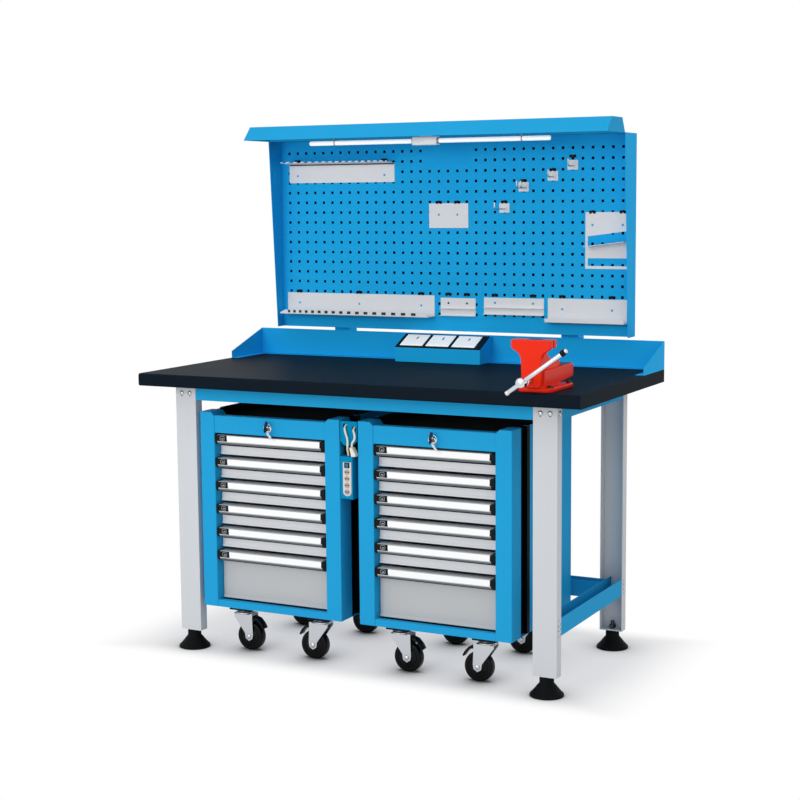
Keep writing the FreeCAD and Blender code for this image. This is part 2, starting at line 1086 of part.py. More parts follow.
def wrench_rack_solid():
    """A plate whose bottom edge folds forward to an upright lip, with a row of slots for wrenches."""
    slot_count = 17
    low = wrench_rack.bottom
    front = panel.face - rack.wall
    tip = front - wrench_rack.ledge
    behind = tip + rack.wall
    crest = low + wrench_rack.lip
    outline = [
        (front, low),
        (tip, low),
        (tip, crest),
        (behind, crest),
        (behind, low + rack.wall),
        (front, low + rack.wall),
    ]
    span = (wrench_rack.left, wrench_rack.right)
    tools = []
    for across in slot_spans(wrench_rack, slot_count):
        lip_slot = box(across, (tip - fit.through, behind), (low + wrench_rack.rim, crest + fit.through))
        floor_height = (low - fit.through, low + rack.wall + fit.through)
        tools += [lip_slot, box(across, (behind, tip + wrench_rack.slot_depth), floor_height)]
    for edge, inward in ((wrench_rack.left, 1), (wrench_rack.right, -1)):
        corner = [
            (edge, low + wrench_rack.rim),
            (edge + inward * wrench_rack.corner, crest),
            (edge, crest),
        ]
        tools.append(prism("y", corner, (tip - fit.through, behind)))
    comb = cut(prism("x", outline, span), group(tools))
    return plate_with_hooks(span, (low, wrench_rack.top), (-17, -10, -3), 14, wrench_rack.spy, [comb])


def double_ledge_solid(holder, columns):
    """A plate with a narrow ledge at half height and another along its bottom edge."""
    span = (holder.left, holder.right)
    middle = (holder.bottom + holder.top) / 2 - rack.middle_drop
    ledges = [ledge(span, middle, holder.ledge), ledge(span, holder.bottom, holder.ledge)]
    return plate_with_hooks(span, (holder.bottom, holder.top), columns, 14, holder.spy, ledges)


def wire_hook_solid(column, row, reach, offsets):
    """A small square plate with round prongs, each turned up at its tip."""
    across, height = hole_place(column, row)
    half = wire_hook.size / 2
    low = height - wire_hook.size
    extras = []
    for offset in offsets:
        place = across + offset * wire_hook.spread / 2
        level = low + wire_hook.level
        tip = panel.face - rack.wall - reach
        extras.append(rod("y", place, (tip, panel.face - rack.wall), level, wire_hook.radius))
        rise = (level - wire_hook.radius, level + wire_hook.tip)
        extras.append(rod("z", place, tip, rise, wire_hook.radius))
    span = (across - half, across + half)
    plate = box(span, (panel.face - rack.wall, panel.face), (low, height - rack.prong))
    return fuse(plate, *clips([column], row, height - rack.prong), *extras)


def panel_holders():
    """The rails, ledges and hooks that hang on the panel."""
    hooks = [
        wire_hook_solid(6, 5, wire_hook.long_reach, (0,)),
        wire_hook_solid(8, 3, wire_hook.short_reach, (-1, 1)),
        wire_hook_solid(11, 2, wire_hook.short_reach, (0,)),
        wire_hook_solid(13, 1, wire_hook.short_reach, (0,)),
    ]
    span = (plate_holder.left, plate_holder.right)
    height = (plate_holder.bottom, plate_holder.top)
    plain = plate_with_hooks(span, height, (-1, 1), 5, plate_holder.spy)
    return group([
        bit_rail_solid(),
        wrench_rack_solid(),
        plain,
        double_ledge_solid(short_ledge, (0, 2)),
        double_ledge_solid(long_ledge, (5, 9)),
        *hooks,
    ])


def pliers_rack():
    """A plate with a shallow open tray along its bottom edge."""
    span = (pliers_tray.left, pliers_tray.right)
    floor = ledge(span, pliers_tray.bottom, pliers_tray.ledge)
    front = panel.face - rack.wall - pliers_tray.ledge
    low = pliers_tray.bottom
    lip = box(span, (front, front + rack.wall), (low, low + pliers_tray.lip))
    return plate_with_hooks(span, (low, pliers_tray.top), (12, 17), 14, pliers_tray.spy, [floor, lip])


def bracket_holder():
    """A plate with a slanted slot over a low window, and a shelf along the slot's lower edge."""
    part = bracket_plate
    left = part.left + part.frame_width
    right = part.right - part.frame_width
    slot = prism(
        "y",
        [
            (left, part.slot_low),
            (right, part.slot_low + part.slot_rise),
            (right, part.slot_high + part.slot_rise),
            (left, part.slot_high),
        ],
        plate_reach,
    )
    window = box((left, right), plate_reach, (part.window_low, part.window_high))
    front = panel.face - rack.wall
    shelf = prism(
        "y",
        [
            (left, part.slot_low - rack.wall),
            (right, part.slot_low + part.slot_rise - rack.wall),
            (right, part.slot_low + part.slot_rise),
            (left, part.slot_low),
        ],
        (front - part.shelf, front),
    )
    return plate_with_hooks(
        (part.left, part.right), (part.bottom, part.top), (15, 18), 6, part.spy, [shelf], [slot, window]
    )


# Feet

def levelling_foot(side, end):
    """A rubber cone with its lock nut and the stud that screws into the leg."""
    across, along = foot_place(side, end)
    nut_top = frame.leg_bottom - fit.seat
    section = [
        (0, 0),
        (foot.base_radius - foot.base_chamfer, 0),
        (foot.base_radius, foot.base_chamfer),
        (foot.base_radius, foot.base_rim),
        (foot.neck_radius, foot.cone_height),
        (foot.nut_radius, foot.cone_height),
        (foot.nut_radius, nut_top),
        (foot.stud_radius, nut_top),
        (foot.stud_radius, foot.stud_top),
        (0, foot.stud_top),
    ]
    return turned("z", section, across, along, as_length(0))


# Vise

def vise_body():
    """Base with its lugs, the body round the slide, the nut, the fixed jaw and the anvil."""
    base = top.height
    body_top = base + vise.body_top
    shoulder_top = base + vise.shoulder_top
    jaw_top = base + vise.jaw_top
    jaw_rear = vise.jaw_face - vise.jaw_depth
    foot_plate = box(
        (vise.centre - vise.base_half, vise.centre + vise.base_half),
        (-vise.base_front, -vise.base_rear),
        (base, base + vise.base_height),
    )
    side_outline = [
        (-vise.body_front, base),
        (-vise.notch_depth, base),
        (-vise.notch_depth, base + vise.base_height),
        (-vise.body_rear, base + vise.anvil_bottom),
        (-vise.body_rear, base + vise.anvil_top),
        (-vise.shoulder_rear, base + vise.anvil_top),
        (-vise.body_front, body_top),
    ]
    body = prism("x", side_outline, (vise.centre - vise.body_half, vise.centre + vise.body_half))
    shoulder_outline = [
        (-vise.jaw_face, body_top),
        (-vise.shoulder_rear, body_top),
        (-vise.shoulder_rear, shoulder_top),
        (-(jaw_rear - vise.shoulder_run), shoulder_top + vise.shoulder_rise),
        (-jaw_rear, jaw_top - vise.jaw_bar),
        (-jaw_rear, jaw_top),
        (-vise.jaw_face, jaw_top),
    ]
    shoulder_x = (vise.centre - vise.shoulder_half, vise.centre + vise.shoulder_half)
    shoulder = prism("x", shoulder_outline, shoulder_x)
    jaw = box(
        (vise.centre - vise.jaw_half, vise.centre + vise.jaw_half),
        (-vise.jaw_face, -jaw_rear),
        (jaw_top - vise.jaw_bar, jaw_top),
    )
    front_wall = box(
        (vise.centre - vise.body_half, vise.centre + vise.body_half),
        (-vise.jaw_face, -vise.body_front),
        (base + vise.base_height, body_top),
    )
    gap = fit.seat
    passage = box(
        (vise.centre - vise.bar_half - gap, vise.centre + vise.bar_half + gap),
        (-vise.jaw_face - fit.through, -vise.body_rear + fit.through),
        (base + vise.bar_bottom - gap, base + vise.bar_top + gap),
    )
    housing = cut(fuse(foot_plate, body, front_wall, shoulder, jaw), passage)
    nut_block = box(
        (vise.centre - vise.nut_half, vise.centre + vise.nut_half),
        (-vise.nut_front, -vise.nut_rear),
        (base + vise.base_height, base + vise.nut_top),
    )
    thread_reach = (-vise.nut_front - fit.through, -vise.nut_rear + fit.through)
    thread = rod("y", vise.centre, thread_reach, base + vise.axis_height, vise.screw_radius + fit.turning)
    lugs = []
    lug_height = (base, base + vise.base_height + vise.lug_height)
    for across in (vise.centre - vise.lug_offset, vise.centre + vise.lug_offset):
        for along in (-vise.lug_front, -vise.lug_rear):
            lugs.append(rod("z", across, along, lug_height, vise.lug_radius))
    return fuse(housing, cut(nut_block, thread), *lugs)


def vise_jaw():
    """The moving jaw with its neck and the hollow slide that runs back through the body."""
    base = top.height
    jaw_top = base + vise.jaw_top
    rear = vise.jaw_face + fit.seat
    front = rear + vise.jaw_depth
    low = base + vise.bar_bottom
    shoulder = jaw_top - vise.jaw_bar
    flare = vise.neck_flare
    bar_x = (vise.centre - vise.jaw_half, vise.centre + vise.jaw_half)
    bar = box(bar_x, (-front, -rear), (shoulder, jaw_top))
    neck_outline = [
        (vise.centre - vise.neck_half, low),
        (vise.centre + vise.neck_half, low),
        (vise.centre + vise.neck_half, shoulder - flare),
        (vise.centre + vise.neck_half + flare, shoulder),
        (vise.centre - vise.neck_half - flare, shoulder),
        (vise.centre - vise.neck_half, shoulder - flare),
    ]
    neck = prism("y", neck_outline, (-front, -rear))
    slide = box(
        (vise.centre - vise.bar_half, vise.centre + vise.bar_half),
        (-rear, -vise.bar_rear),
        (low, base + vise.bar_top),
    )
    hollow = box(
        (vise.centre - vise.bar_half + vise.bar_wall, vise.centre + vise.bar_half - vise.bar_wall),
        (-rear, -vise.bar_rear + fit.through),
        (low - fit.through, base + vise.bar_top - vise.bar_wall),
    )
    bore_reach = (-front - fit.through, -rear + fit.through)
    bore = rod("y", vise.centre, bore_reach, base + vise.axis_height, vise.screw_radius + fit.turning)
    return cut(fuse(bar, neck, cut(slide, hollow)), bore)


def vise_screw():
    """The screw with the collar that draws the jaw, and the hub that carries the lever."""
    height = top.height + vise.axis_height
    jaw_front = vise.jaw_face + fit.seat + vise.jaw_depth
    hub_front = vise.hub_place + vise.hub_length / 2
    hub_rear = vise.hub_place - vise.hub_length / 2
    hub = rod("y", vise.centre, (-hub_front, -hub_rear), height, vise.hub_radius)
    collar = rod("y", vise.centre, (-hub_rear, -jaw_front - fit.seat), height, vise.collar_radius)
    screw = rod("y", vise.centre, (-hub_front, -vise.screw_rear), height, vise.screw_radius)
    cross_start = -vise.hub_radius - fit.through
    cross = lever_rod(cross_start, -2 * cross_start, vise.lever_radius + fit.turning)
    return cut(fuse(hub, collar, screw), cross)


def lever_rod(start, length, radius):
    """A bar on the lever's axis, which crosses the screw's axis at the hub."""
    bar = doc.addObject("Part::Cylinder", "LeverRod")
    turn = FreeCAD.Rotation(FreeCAD.Vector(0, 1, 0), 90 - vise.lever_slope.value)
    bar.Placement = FreeCAD.Placement(FreeCAD.Vector(), turn)
    bind(bar, "Placement.Rotation.Angle", 90 - vise.lever_slope)
    bind(bar, "Radius", radius)
    bind(bar, "Height", length)
    start = as_length(start)
    slope = vise.lever_slope.text
    along = Length(math.cos(math.radians(vise.lever_slope.value)), f"cos({slope})")
    upward = Length(math.sin(math.radians(vise.lever_slope.value)), f"sin({slope})")
    bind(bar, "Placement.Base.x", vise.centre + start * along)
    bind(bar, "Placement.Base.y", -vise.hub_place)
    bind(bar, "Placement.Base.z", top.height + vise.axis_height + start * upward)
    return bar


def vise_handle():
    """The lever that slides in the hub, with a cap and a tip above and a thicker end below."""
    bar = lever_rod(-vise.lever_low, vise.lever_low + vise.lever_high, vise.lever_radius)
    tip_start = vise.lever_high - vise.tip_length
    cap = lever_rod(tip_start - vise.cap_length, vise.cap_length, vise.cap_radius)
    tip = lever_rod(tip_start, vise.tip_length, vise.tip_radius)
    end = lever_rod(-vise.lever_low, vise.end_length, vise.end_radius)
    return fuse(bar, cap, tip, end)


# Roller cabinets

cabinet_lefts = {"left": -cabinet.left_start, "right": cabinet.right_start}
cabinet_face = -cabinet.front
cabinet_rear = cabinet_face + cabinet.depth
opening = cabinet.width - 2 * cabinet.post_width
drawer_top = cabinet.fascia_bottom
caster_rows = {
    "front": cabinet_face + caster.front_place,
    "rear": cabinet_rear - caster.rear_place,
}
shallow_count = int(drawer.count_shallow.value)


def drawer_slots():
    """Upper and lower limit of each drawer's slot, from the top down."""
    slots = []
    for index in range(shallow_count):
        upper = drawer_top - index * drawer.pitch
        slots.append((upper, upper - drawer.pitch))
    lowest = drawer_top - shallow_count * drawer.pitch
    slots.append((lowest, cabinet.bottom + cabinet.foot_rail))
    return slots


def tray_heights(slot):
    """Bottom and top of a drawer's tray in its slot."""
    upper, lower = slot
    return lower + drawer.floor_gap, upper - drawer.flange_drop


def cabinet_side(left, inward):
    """One side: the front post, the outer sheet with its recess, the inner sheet and the runners."""
    wall = cabinet.wall

    def across(first, second):
        return ordered(left + inward * first, left + inward * second)

    rear = cabinet_rear - wall
    post_rear = cabinet_face + cabinet.post_depth
    strip_rear = post_rear + cabinet.strip_width
    height = (cabinet.bottom, cabinet.top)
    outer = across(as_length(0), cabinet.post_width)
    inner = cabinet.post_width
    inner_face = left + inward * inner
    corner = [
        (inner_face, cabinet.top - cabinet.corner),
        (inner_face, cabinet.top),
        (inner_face - inward * cabinet.corner, cabinet.top),
    ]
    notch = prism("y", corner, (cabinet_face - fit.through, post_rear + fit.through))
    tube = cut(square_tube(outer, (cabinet_face, post_rear), height, wall, "z"), notch)
    recess = cabinet.strip_inset
    parts = [
        tube,
        box(across(as_length(0), wall), (strip_rear, rear), height),
        box(across(as_length(0), recess), (strip_rear, strip_rear + wall), height),
        box(across(recess - wall, recess), (post_rear, strip_rear + wall), height),
    ]
    inner_top = cabinet.tray_floor
    inner_low = cabinet.bottom + wall
    parts.append(box(across(inner - wall, inner), (post_rear, rear), (inner_low, inner_top)))
    for slot in drawer_slots():
        _, flange_top = tray_heights(slot)
        runner_top = flange_top - drawer.wall - fit.seat
        runner = (runner_top - cabinet.runner_height, runner_top)
        parts.append(box(across(inner, inner + cabinet.runner_width), (post_rear, rear), runner))
    return fuse(*parts)


def cabinet_shell(left, lock_hole):
    """The welded case: two sides, rear sheet, floor with caster blocks, and the tray on top."""
    wall = cabinet.wall
    right = left + cabinet.width
    sides = [cabinet_side(left, 1), cabinet_side(right, -1)]
    back = box((left, right), (cabinet_rear - wall, cabinet_rear), (cabinet.bottom, cabinet.top))
    inner_left = left + cabinet.post_width
    inner_right = right - cabinet.post_width
    face = cabinet_face + cabinet.front_step
    post_rear = cabinet_face + cabinet.post_depth
    floor = box((left, right), (post_rear, cabinet_rear - wall), (cabinet.bottom, cabinet.bottom + wall))
    floor_top = (cabinet.bottom, cabinet.bottom + cabinet.foot_rail)
    sill = box((inner_left, inner_right), (face, face + cabinet.foot_rail_depth), floor_top)
    sill_floor = box((inner_left, inner_right), (face, post_rear), (cabinet.bottom, cabinet.bottom + wall))
    low = cabinet.fascia_bottom
    high = cabinet.fascia_top
    tray_front = face + cabinet.lip_depth
    tray_height = (cabinet.tray_floor, cabinet.tray_floor + wall)
    between = (inner_left, inner_right)
    fascia = fuse(
        box(between, (face, face + wall), (low, high)),
        box(between, (face, tray_front), (high - wall, high)),
        box(between, (tray_front - wall, tray_front), (cabinet.tray_floor, high)),
        box(between, (tray_front - wall, post_rear), tray_height),
    )
    tray_x = (left + cabinet.strip_inset, right - cabinet.strip_inset)
    tray = box(tray_x, (post_rear, cabinet_rear - wall), tray_height)
    blocks = []
    pins = []
    block_low = cabinet.bottom - cabinet.block_height
    pin_reach = (block_low - fit.through, cabinet.bottom + wall + fit.through)
    for swivel in swivels(left).values():
        across = (swivel.x - cabinet.block_length / 2, swivel.x + cabinet.block_length / 2)
        along = (swivel.y - cabinet.block_width / 2, swivel.y + cabinet.block_width / 2)
        blocks.append(box(across, along, (block_low, cabinet.bottom)))
        pins.append(rod("z", swivel.x, swivel.y, pin_reach, caster.pin_radius + fit.turning))
    case = cut(fuse(floor, sill, sill_floor, *blocks), group(pins))
    return group([*sides, back, case, fuse(cut(fascia, lock_hole), tray)])


def drawer_solid(left, slot):
    """A sheet tray with outward flanges, its front and the grip profile along the front's top."""
    upper, lower = slot
    tray_low, tray_high = tray_heights(slot)
    wall = drawer.wall
    inner_left = left + cabinet.post_width
    inner_right = inner_left + opening
    front = cabinet_face + drawer.handle_depth
    rear = front + drawer.length
    tray_gap = cabinet.runner_width + fit.running
    tray_x = (inner_left + tray_gap, inner_right - tray_gap)
    hollow_x = (tray_x[0] + wall, tray_x[1] - wall)
    tray = cut(
        box(tray_x, (front, rear), (tray_low, tray_high)),
        box(hollow_x, (front + wall, rear - wall), (tray_low + wall, tray_high + fit.through)),
    )
    flange_z = (tray_high - wall, tray_high)
    flanges = [
        box((inner_left + fit.running, tray_x[0] + wall), (front, rear), flange_z),
        box((tray_x[1] - wall, inner_right - fit.running), (front, rear), flange_z),
    ]
    front_x = (inner_left + drawer.side_gap, inner_right - drawer.side_gap)
    grip_top = upper - drawer.top_gap
    plate = box(front_x, (front, front + wall), (lower + drawer.bottom_gap, grip_top))
    face = cabinet_face
    lip_top = grip_top - drawer.handle_height + drawer.lip_height
    lip_low = grip_top - drawer.handle_height
    grip_outline = [
        (face, grip_top),
        (front, grip_top),
        (front, grip_top - drawer.handle_wall),
        (face + drawer.handle_wall, grip_top - drawer.handle_wall),
        (face + drawer.handle_wall, lip_top),
        (face + drawer.lip_depth, lip_top - drawer.handle_wall),
        (face + drawer.lip_depth, lip_low + drawer.handle_wall),
        (face + drawer.handle_wall, lip_low),
        (face, lip_low),
    ]
    grip = prism("x", grip_outline, front_x)
    cap_outline = [
        (face, grip_top),
        (front, grip_top),
        (front, grip_top - drawer.lip_height),
        (face + drawer.lip_depth, lip_low),
        (face, lip_low),
    ]
    cap_spans = [
        (front_x[0], front_x[0] + 2 * drawer.handle_wall),
        (front_x[1] - 2 * drawer.handle_wall, front_x[1]),
    ]
    caps = [prism("x", cap_outline, span) for span in cap_spans]
    return fuse(tray, *flanges, plate, grip, *caps)


def lock_place(left):
    """Middle of the fascia, where the lock sits."""
    return left + cabinet.width / 2


def lock_bore(left):
    """The hole in the fascia that the lock's barrel turns in."""
    face = cabinet_face + cabinet.front_step
    reach = (face - fit.through, face + cabinet.wall + fit.through)
    return rod("y", lock_place(left), reach, lock.height, lock.barrel_radius + fit.turning)


def cabinet_lock(left):
    """Rosette, barrel and cam, with the key in it."""
    across = lock_place(left)
    face = cabinet_face + cabinet.front_step
    rosette_rear = face - fit.seat
    rosette_front = rosette_rear - lock.rosette
    barrel_rear = face + lock.barrel_length
    rosette = rod("y", across, (rosette_front, rosette_rear), lock.height, lock.radius)
    barrel = rod("y", across, (rosette_rear, barrel_rear), lock.height, lock.barrel_radius)
    cam = box(
        (across - lock.cam_width / 2, across + lock.cam_width / 2),
        (barrel_rear - lock.cam_wall, barrel_rear),
        (lock.height - lock.cam_length, lock.height),
    )
    key_front = rosette_front - lock.key_reach
    key = box(
        (across - lock.key_wall / 2, across + lock.key_wall / 2),
        (key_front, rosette_front),
        (lock.height - lock.key_width / 2, lock.height + lock.key_width / 2),
    )
    bow = box(
        (across - lock.bow_wall / 2, across + lock.bow_wall / 2),
        (key_front - lock.bow_width, key_front),
        (lock.height - lock.bow_height / 2, lock.height + lock.bow_height / 2),
    )
    return fuse(rosette, barrel, cam, key, bow)


# Casters

def swivels(left):
    """Swivel axes of a cabinet's casters, each with the way that it trails and whether it brakes."""
    middle = left + cabinet.width / 2
    found = {}
    for end, row in caster_rows.items():
        for name, side in SIDES.items():
            found[f"{end}_{name}"] = SimpleNamespace(
                x=middle + side * caster.spread, y=row, trail=-side, brakes=end == "front"
            )
    return found


def caster_fork(swivel):
    """Race, pin, crown and two cheeks, with the axle across them."""
    race_top = cabinet.bottom - cabinet.block_height - fit.seat
    race = rod("z", swivel.x, swivel.y, (caster.race_bottom, race_top), caster.race_radius)
    pin_top = race_top + caster.pin_reach
    pin = rod("z", swivel.x, swivel.y, (race_top, pin_top), caster.pin_radius)
    cheek_outer = caster.cheek_inner + caster.cheek_wall
    crown = box(
        (swivel.x - caster.race_radius, swivel.x + caster.race_radius),
        (swivel.y - cheek_outer, swivel.y + cheek_outer),
        (caster.crown_bottom, caster.race_bottom),
    )
    axle_x = swivel.x + swivel.trail * caster.trail
    toward = swivel.trail
    foot_radius = caster.cheek_foot_radius
    parts = [race, pin, crown]
    for side in SIDES.values():
        along = ordered(swivel.y + side * caster.cheek_inner, swivel.y + side * cheek_outer)
        outline = [
            (swivel.x - toward * caster.race_radius, caster.race_bottom),
            (swivel.x + toward * caster.cheek_reach, caster.race_bottom),
            (swivel.x + toward * caster.cheek_reach, caster.cheek_shoulder),
            (axle_x + toward * foot_radius, caster.wheel_radius),
            (axle_x - toward * foot_radius, caster.wheel_radius),
            (swivel.x - toward * caster.race_radius, caster.crown_bottom),
        ]
        parts.append(prism("y", outline, along))
        parts.append(rod("y", axle_x, along, caster.wheel_radius, foot_radius))
        cap = ordered(swivel.y + side * cheek_outer, swivel.y + side * (cheek_outer + caster.cap_height))
        parts.append(rod("y", axle_x, cap, caster.wheel_radius, caster.cap_radius))
    across = (swivel.y - cheek_outer, swivel.y + cheek_outer)
    parts.append(rod("y", axle_x, across, caster.wheel_radius, caster.axle_radius))
    if swivel.brakes:
        pivot = swivel.x + toward * caster.pedal_pivot
        parts.append(rod("y", pivot, across, caster.pedal_height, caster.pedal_pin))
    return fuse(*parts)


def caster_wheel(swivel):
    """Tyre with a rounded tread, a wider hub and the axle's bore."""
    half = caster.wheel_width / 2
    hub_half = caster.hub_width / 2
    bore = caster.axle_radius + fit.turning
    tread = caster.wheel_radius
    soft = caster.tread_rounding
    bow = soft * (1 - math.sqrt(0.5))
    section = [
        (bore, -hub_half),
        (caster.hub_radius, -hub_half),
        (caster.hub_radius + caster.hub_step, -half),
        (tread - soft, -half),
        (tread - bow, -half + bow),
        (tread, -half + soft),
        (tread, half - soft),
        (tread - bow, half - bow),
        (tread - soft, half),
        (caster.hub_radius + caster.hub_step, half),
        (caster.hub_radius, hub_half),
        (bore, hub_half),
    ]
    axle_x = swivel.x + swivel.trail * caster.trail
    return turned("y", section, axle_x, swivel.y, caster.wheel_radius)


def brake_pedal(swivel):
    """A lever on a pin between the cheeks that reaches out over the wheel."""
    toward = swivel.trail
    pivot = swivel.x + toward * caster.pedal_pivot
    height = caster.pedal_height
    wall = caster.pedal_wall
    along = (swivel.y - caster.pedal_half, swivel.y + caster.pedal_half)
    hub = rod("y", pivot, along, height, caster.pedal_hub)
    bend = pivot + toward * caster.pedal_bend
    tip = swivel.x + toward * caster.pedal_reach
    outline = [
        (pivot, height + caster.pedal_root),
        (bend, height),
        (tip, height - caster.pedal_drop + wall),
        (tip - toward * wall, height - caster.pedal_drop),
        (bend - toward * wall / 2, height - caster.pedal_bend_wall),
        (pivot, height - caster.pedal_root),
    ]
    lever = prism("y", outline, along)
    reach = (along[0] - fit.through, along[1] + fit.through)
    bore = rod("y", pivot, reach, height, caster.pedal_pin + fit.turning)
    return cut(fuse(hub, lever), bore)


# Power strip

strip_left = cabinet_lefts["left"] + cabinet.width


def power_strip():
    """A box bracket on the post's side with the strip in it, and the plate that holds the cord."""
    wall = strip.wall
    front = -strip.bracket_front
    rear = front + strip.bracket_depth
    right = strip_left + strip.bracket_width
    bar_x = (strip_left + strip.left, strip_left + strip.left + strip.width)
    block = box((strip_left, right), (front, rear), (strip.bracket_bottom, strip.bracket_top))
    inside = box(
        (strip_left + wall, right - wall),
        (front + wall, rear - wall),
        (strip.bracket_bottom + wall, strip.bracket_top - wall),
    )
    window = box(
        (bar_x[0] - fit.seat, bar_x[1] + fit.seat),
        (front - fit.through, front + wall + fit.through),
        (strip.bottom - fit.seat, strip.top + fit.seat),
    )
    gland_x, gland_y, _ = cord_route[0]
    hole_height = (strip.bracket_top - wall - fit.through, strip.bracket_top + fit.through)
    gland_hole = rod("z", gland_x, gland_y, hole_height, strip.gland_radius + fit.seat)
    bar = box(bar_x, (front - strip.rise, rear - wall), (strip.bottom, strip.top))
    gland = rod("z", gland_x, gland_y, (strip.top, strip.top + strip.gland_height), strip.gland_radius)
    return group([cut(block, inside, window, gland_hole), fuse(bar, gland), cord_plate()])


def cord_plate():
    """The plate over the strip, with two holes that the cord passes through."""
    front = -strip.plate_face
    rear = front + strip.plate_wall
    right = strip_left + strip.plate_width
    shoulder = strip.plate_bottom + strip.plate_shoulder
    corner = strip.plate_bottom + strip.plate_corner
    plate = prism(
        "y",
        [
            (strip_left, shoulder),
            (strip_left + strip.plate_corner_inset, corner),
            (strip_left + strip.plate_foot_inset, strip.plate_bottom),
            (right - strip.plate_foot_inset, strip.plate_bottom),
            (right - strip.plate_corner_inset, corner),
            (right, shoulder),
            (right, strip.plate_top),
            (strip_left, strip.plate_top),
        ],
        (front, rear),
    )
    flange = box(
        (strip_left, strip_left + strip.plate_wall),
        (front, front + strip.plate_flange),
        (shoulder, strip.plate_top),
    )
    reach = (front - fit.through, rear + fit.through)
    holes = [
        rod("y", strip.hole_left_x, reach, strip.hole_left_z, strip.hole_radius),
        rod("y", strip.hole_right_x, reach, strip.hole_right_z, strip.hole_radius),
    ]
    return cut(fuse(plate, flange), *holes)


# The cord rises from the strip in front of its plate, passes behind it from one hole to
# the other and hangs down to the plug.
cord_route = [
    (-29.0, -300.0, 668.0),
    (-29.0, -300.0, 677.0),
    (-27.5, -308.5, 688.0),
    (-23.5, -315.5, 700.0),
    (-22.0, -316.0, 722.0),
    (-29.5, -316.0, 742.0),
    (-34.0, -314.5, 757.0),
    (-35.0, -300.5, 765.5),
    (-23.5, -297.5, 770.5),
    (-12.5, -297.5, 769.5),
    (-4.5, -299.0, 761.0),
    (-4.0, -314.5, 752.5),
    (1.5, -316.0, 741.0),
    (2.5, -316.0, 728.0),
    (-2.0, -314.5, 719.0),
    (-7.5, -313.5, 713.5),
    (-9.5, -313.0, 708.0),
    (-9.5, -313.0, 701.0),
]
ARC_SHARE = 0.45


def cord_path(points):
    """Straight runs joined by tangent arcs, and the arcs' radii."""
    corners = [FreeCAD.Vector(*point) for point in points]
    edges = []
    radii = []
    start = corners[0]
    for before, corner, after in zip(corners, corners[1:], corners[2:]):
        back = before - corner
        ahead = after - corner
        shorter = min(back.Length, ahead.Length)
        back.normalize()
        ahead.normalize()
        half_turn = (math.pi - back.getAngle(ahead)) / 2
        inset = ARC_SHARE * shorter
        radii.append(inset / math.tan(half_turn))
        entry = corner + back * inset
        leave = corner + ahead * inset
        middle_way = back + ahead
        middle_way.normalize()
        apex = corner + middle_way * (radii[-1] / math.cos(half_turn) - radii[-1])
        edges.append(Part.LineSegment(start, entry).toShape())
        edges.append(Part.Arc(entry, apex, leave).toShape())
        start = leave
    edges.append(Part.LineSegment(start, corners[-1]).toShape())
    return Part.Wire(edges), radii


def strip_cord():
    """A tube along the cord's route."""
    radius = strip.cord_radius.value
    path, radii = cord_path(cord_route)
    direction = FreeCAD.Vector(*cord_route[1]) - FreeCAD.Vector(*cord_route[0])
    circle = Part.makeCircle(radius, FreeCAD.Vector(*cord_route[0]), direction)
    tube = path.makePipeShell([Part.Wire([circle])], True, False)
    plain = math.pi * radius * radius * path.Length
    print("cord radii", [round(value, 1) for value in radii])
    print("cord length", round(path.Length, 1), "volume ratio", round(tube.Volume / plain, 5))
    cord = doc.addObject("Part::Feature", "Cord")
    cord.Shape = tube
    return cord


def strip_plug():
    """The leaning plug at the cord's end, with a short sleeve round the cord."""
    x, y, z = cord_route[-1]
    high = z - strip.sleeve_height
    low = high - strip.plug_height
    right = x + strip.plug_reach
    outline = [
        (x - strip.plug_top / 2, high),
        (x + strip.plug_top / 2, high),
        (right, low + strip.plug_foot),
        (right, low),
        (right - strip.plug_width, low),
    ]
    body = prism("y", outline, (y - strip.plug_depth / 2, y + strip.plug_depth / 2))
    sleeve_reach = (high - strip.sleeve_height, as_length(z))
    return fuse(body, rod("z", x, y, sleeve_reach, strip.cord_radius + strip.sleeve_wall))


# All pieces

def build():
    """Makes every piece of the workbench and names it."""
    drill = bolt_drill()
    node("worktop", worktop())
    legs = [leg(side, end) for side in SIDES.values() for end in ENDS.values()]
    node("legs", cut(group(legs), drill))
    rails = [low_rear_rail()]
    for side in SIDES.values():
        rails += [low_side_rail(side), top_side_rail(side)]
    for end in ENDS.values():
        rails.append(cross_rail(end))
    node("frame_rails", cut(group(rails), drill))
    node("frame_bolts", frame_bolts())
    node("upstand", upstand())
    node("perforated_panel", perforated_panel())
    node("panel_frame", panel_frame())
    node("canopy", canopy())
    node("strip_lamp", strip_lamp())
    node("socket_box", socket_box())
    node("panel_holders", panel_holders())
    node("pliers_rack", pliers_rack())
    node("bracket_holder", bracket_holder())
    for end_name, end in ENDS.items():
        for side_name, side in SIDES.items():
            node(f"foot_{end_name}_{side_name}", levelling_foot(side, end))
    node("vise_body", vise_body())
    node("vise_jaw", vise_jaw())
    node("vise_screw", vise_screw())
    node("vise_handle", vise_handle())
    for name, left in cabinet_lefts.items():
        node(f"{name}_shell", cabinet_shell(left, lock_bore(left)))
        node(f"{name}_lock", cabinet_lock(left))
        for number, slot in enumerate(drawer_slots(), 1):
            node(f"{name}_drawer_{number}", drawer_solid(left, slot))
        for place, swivel in swivels(left).items():
            node(f"{name}_fork_{place}", caster_fork(swivel))
            node(f"{name}_wheel_{place}", caster_wheel(swivel))
            if swivel.brakes:
                node(f"{name}_pedal_{place}", brake_pedal(swivel))
    node("power_strip", power_strip())
    node("strip_cord", strip_cord())
    node("strip_plug", strip_plug())


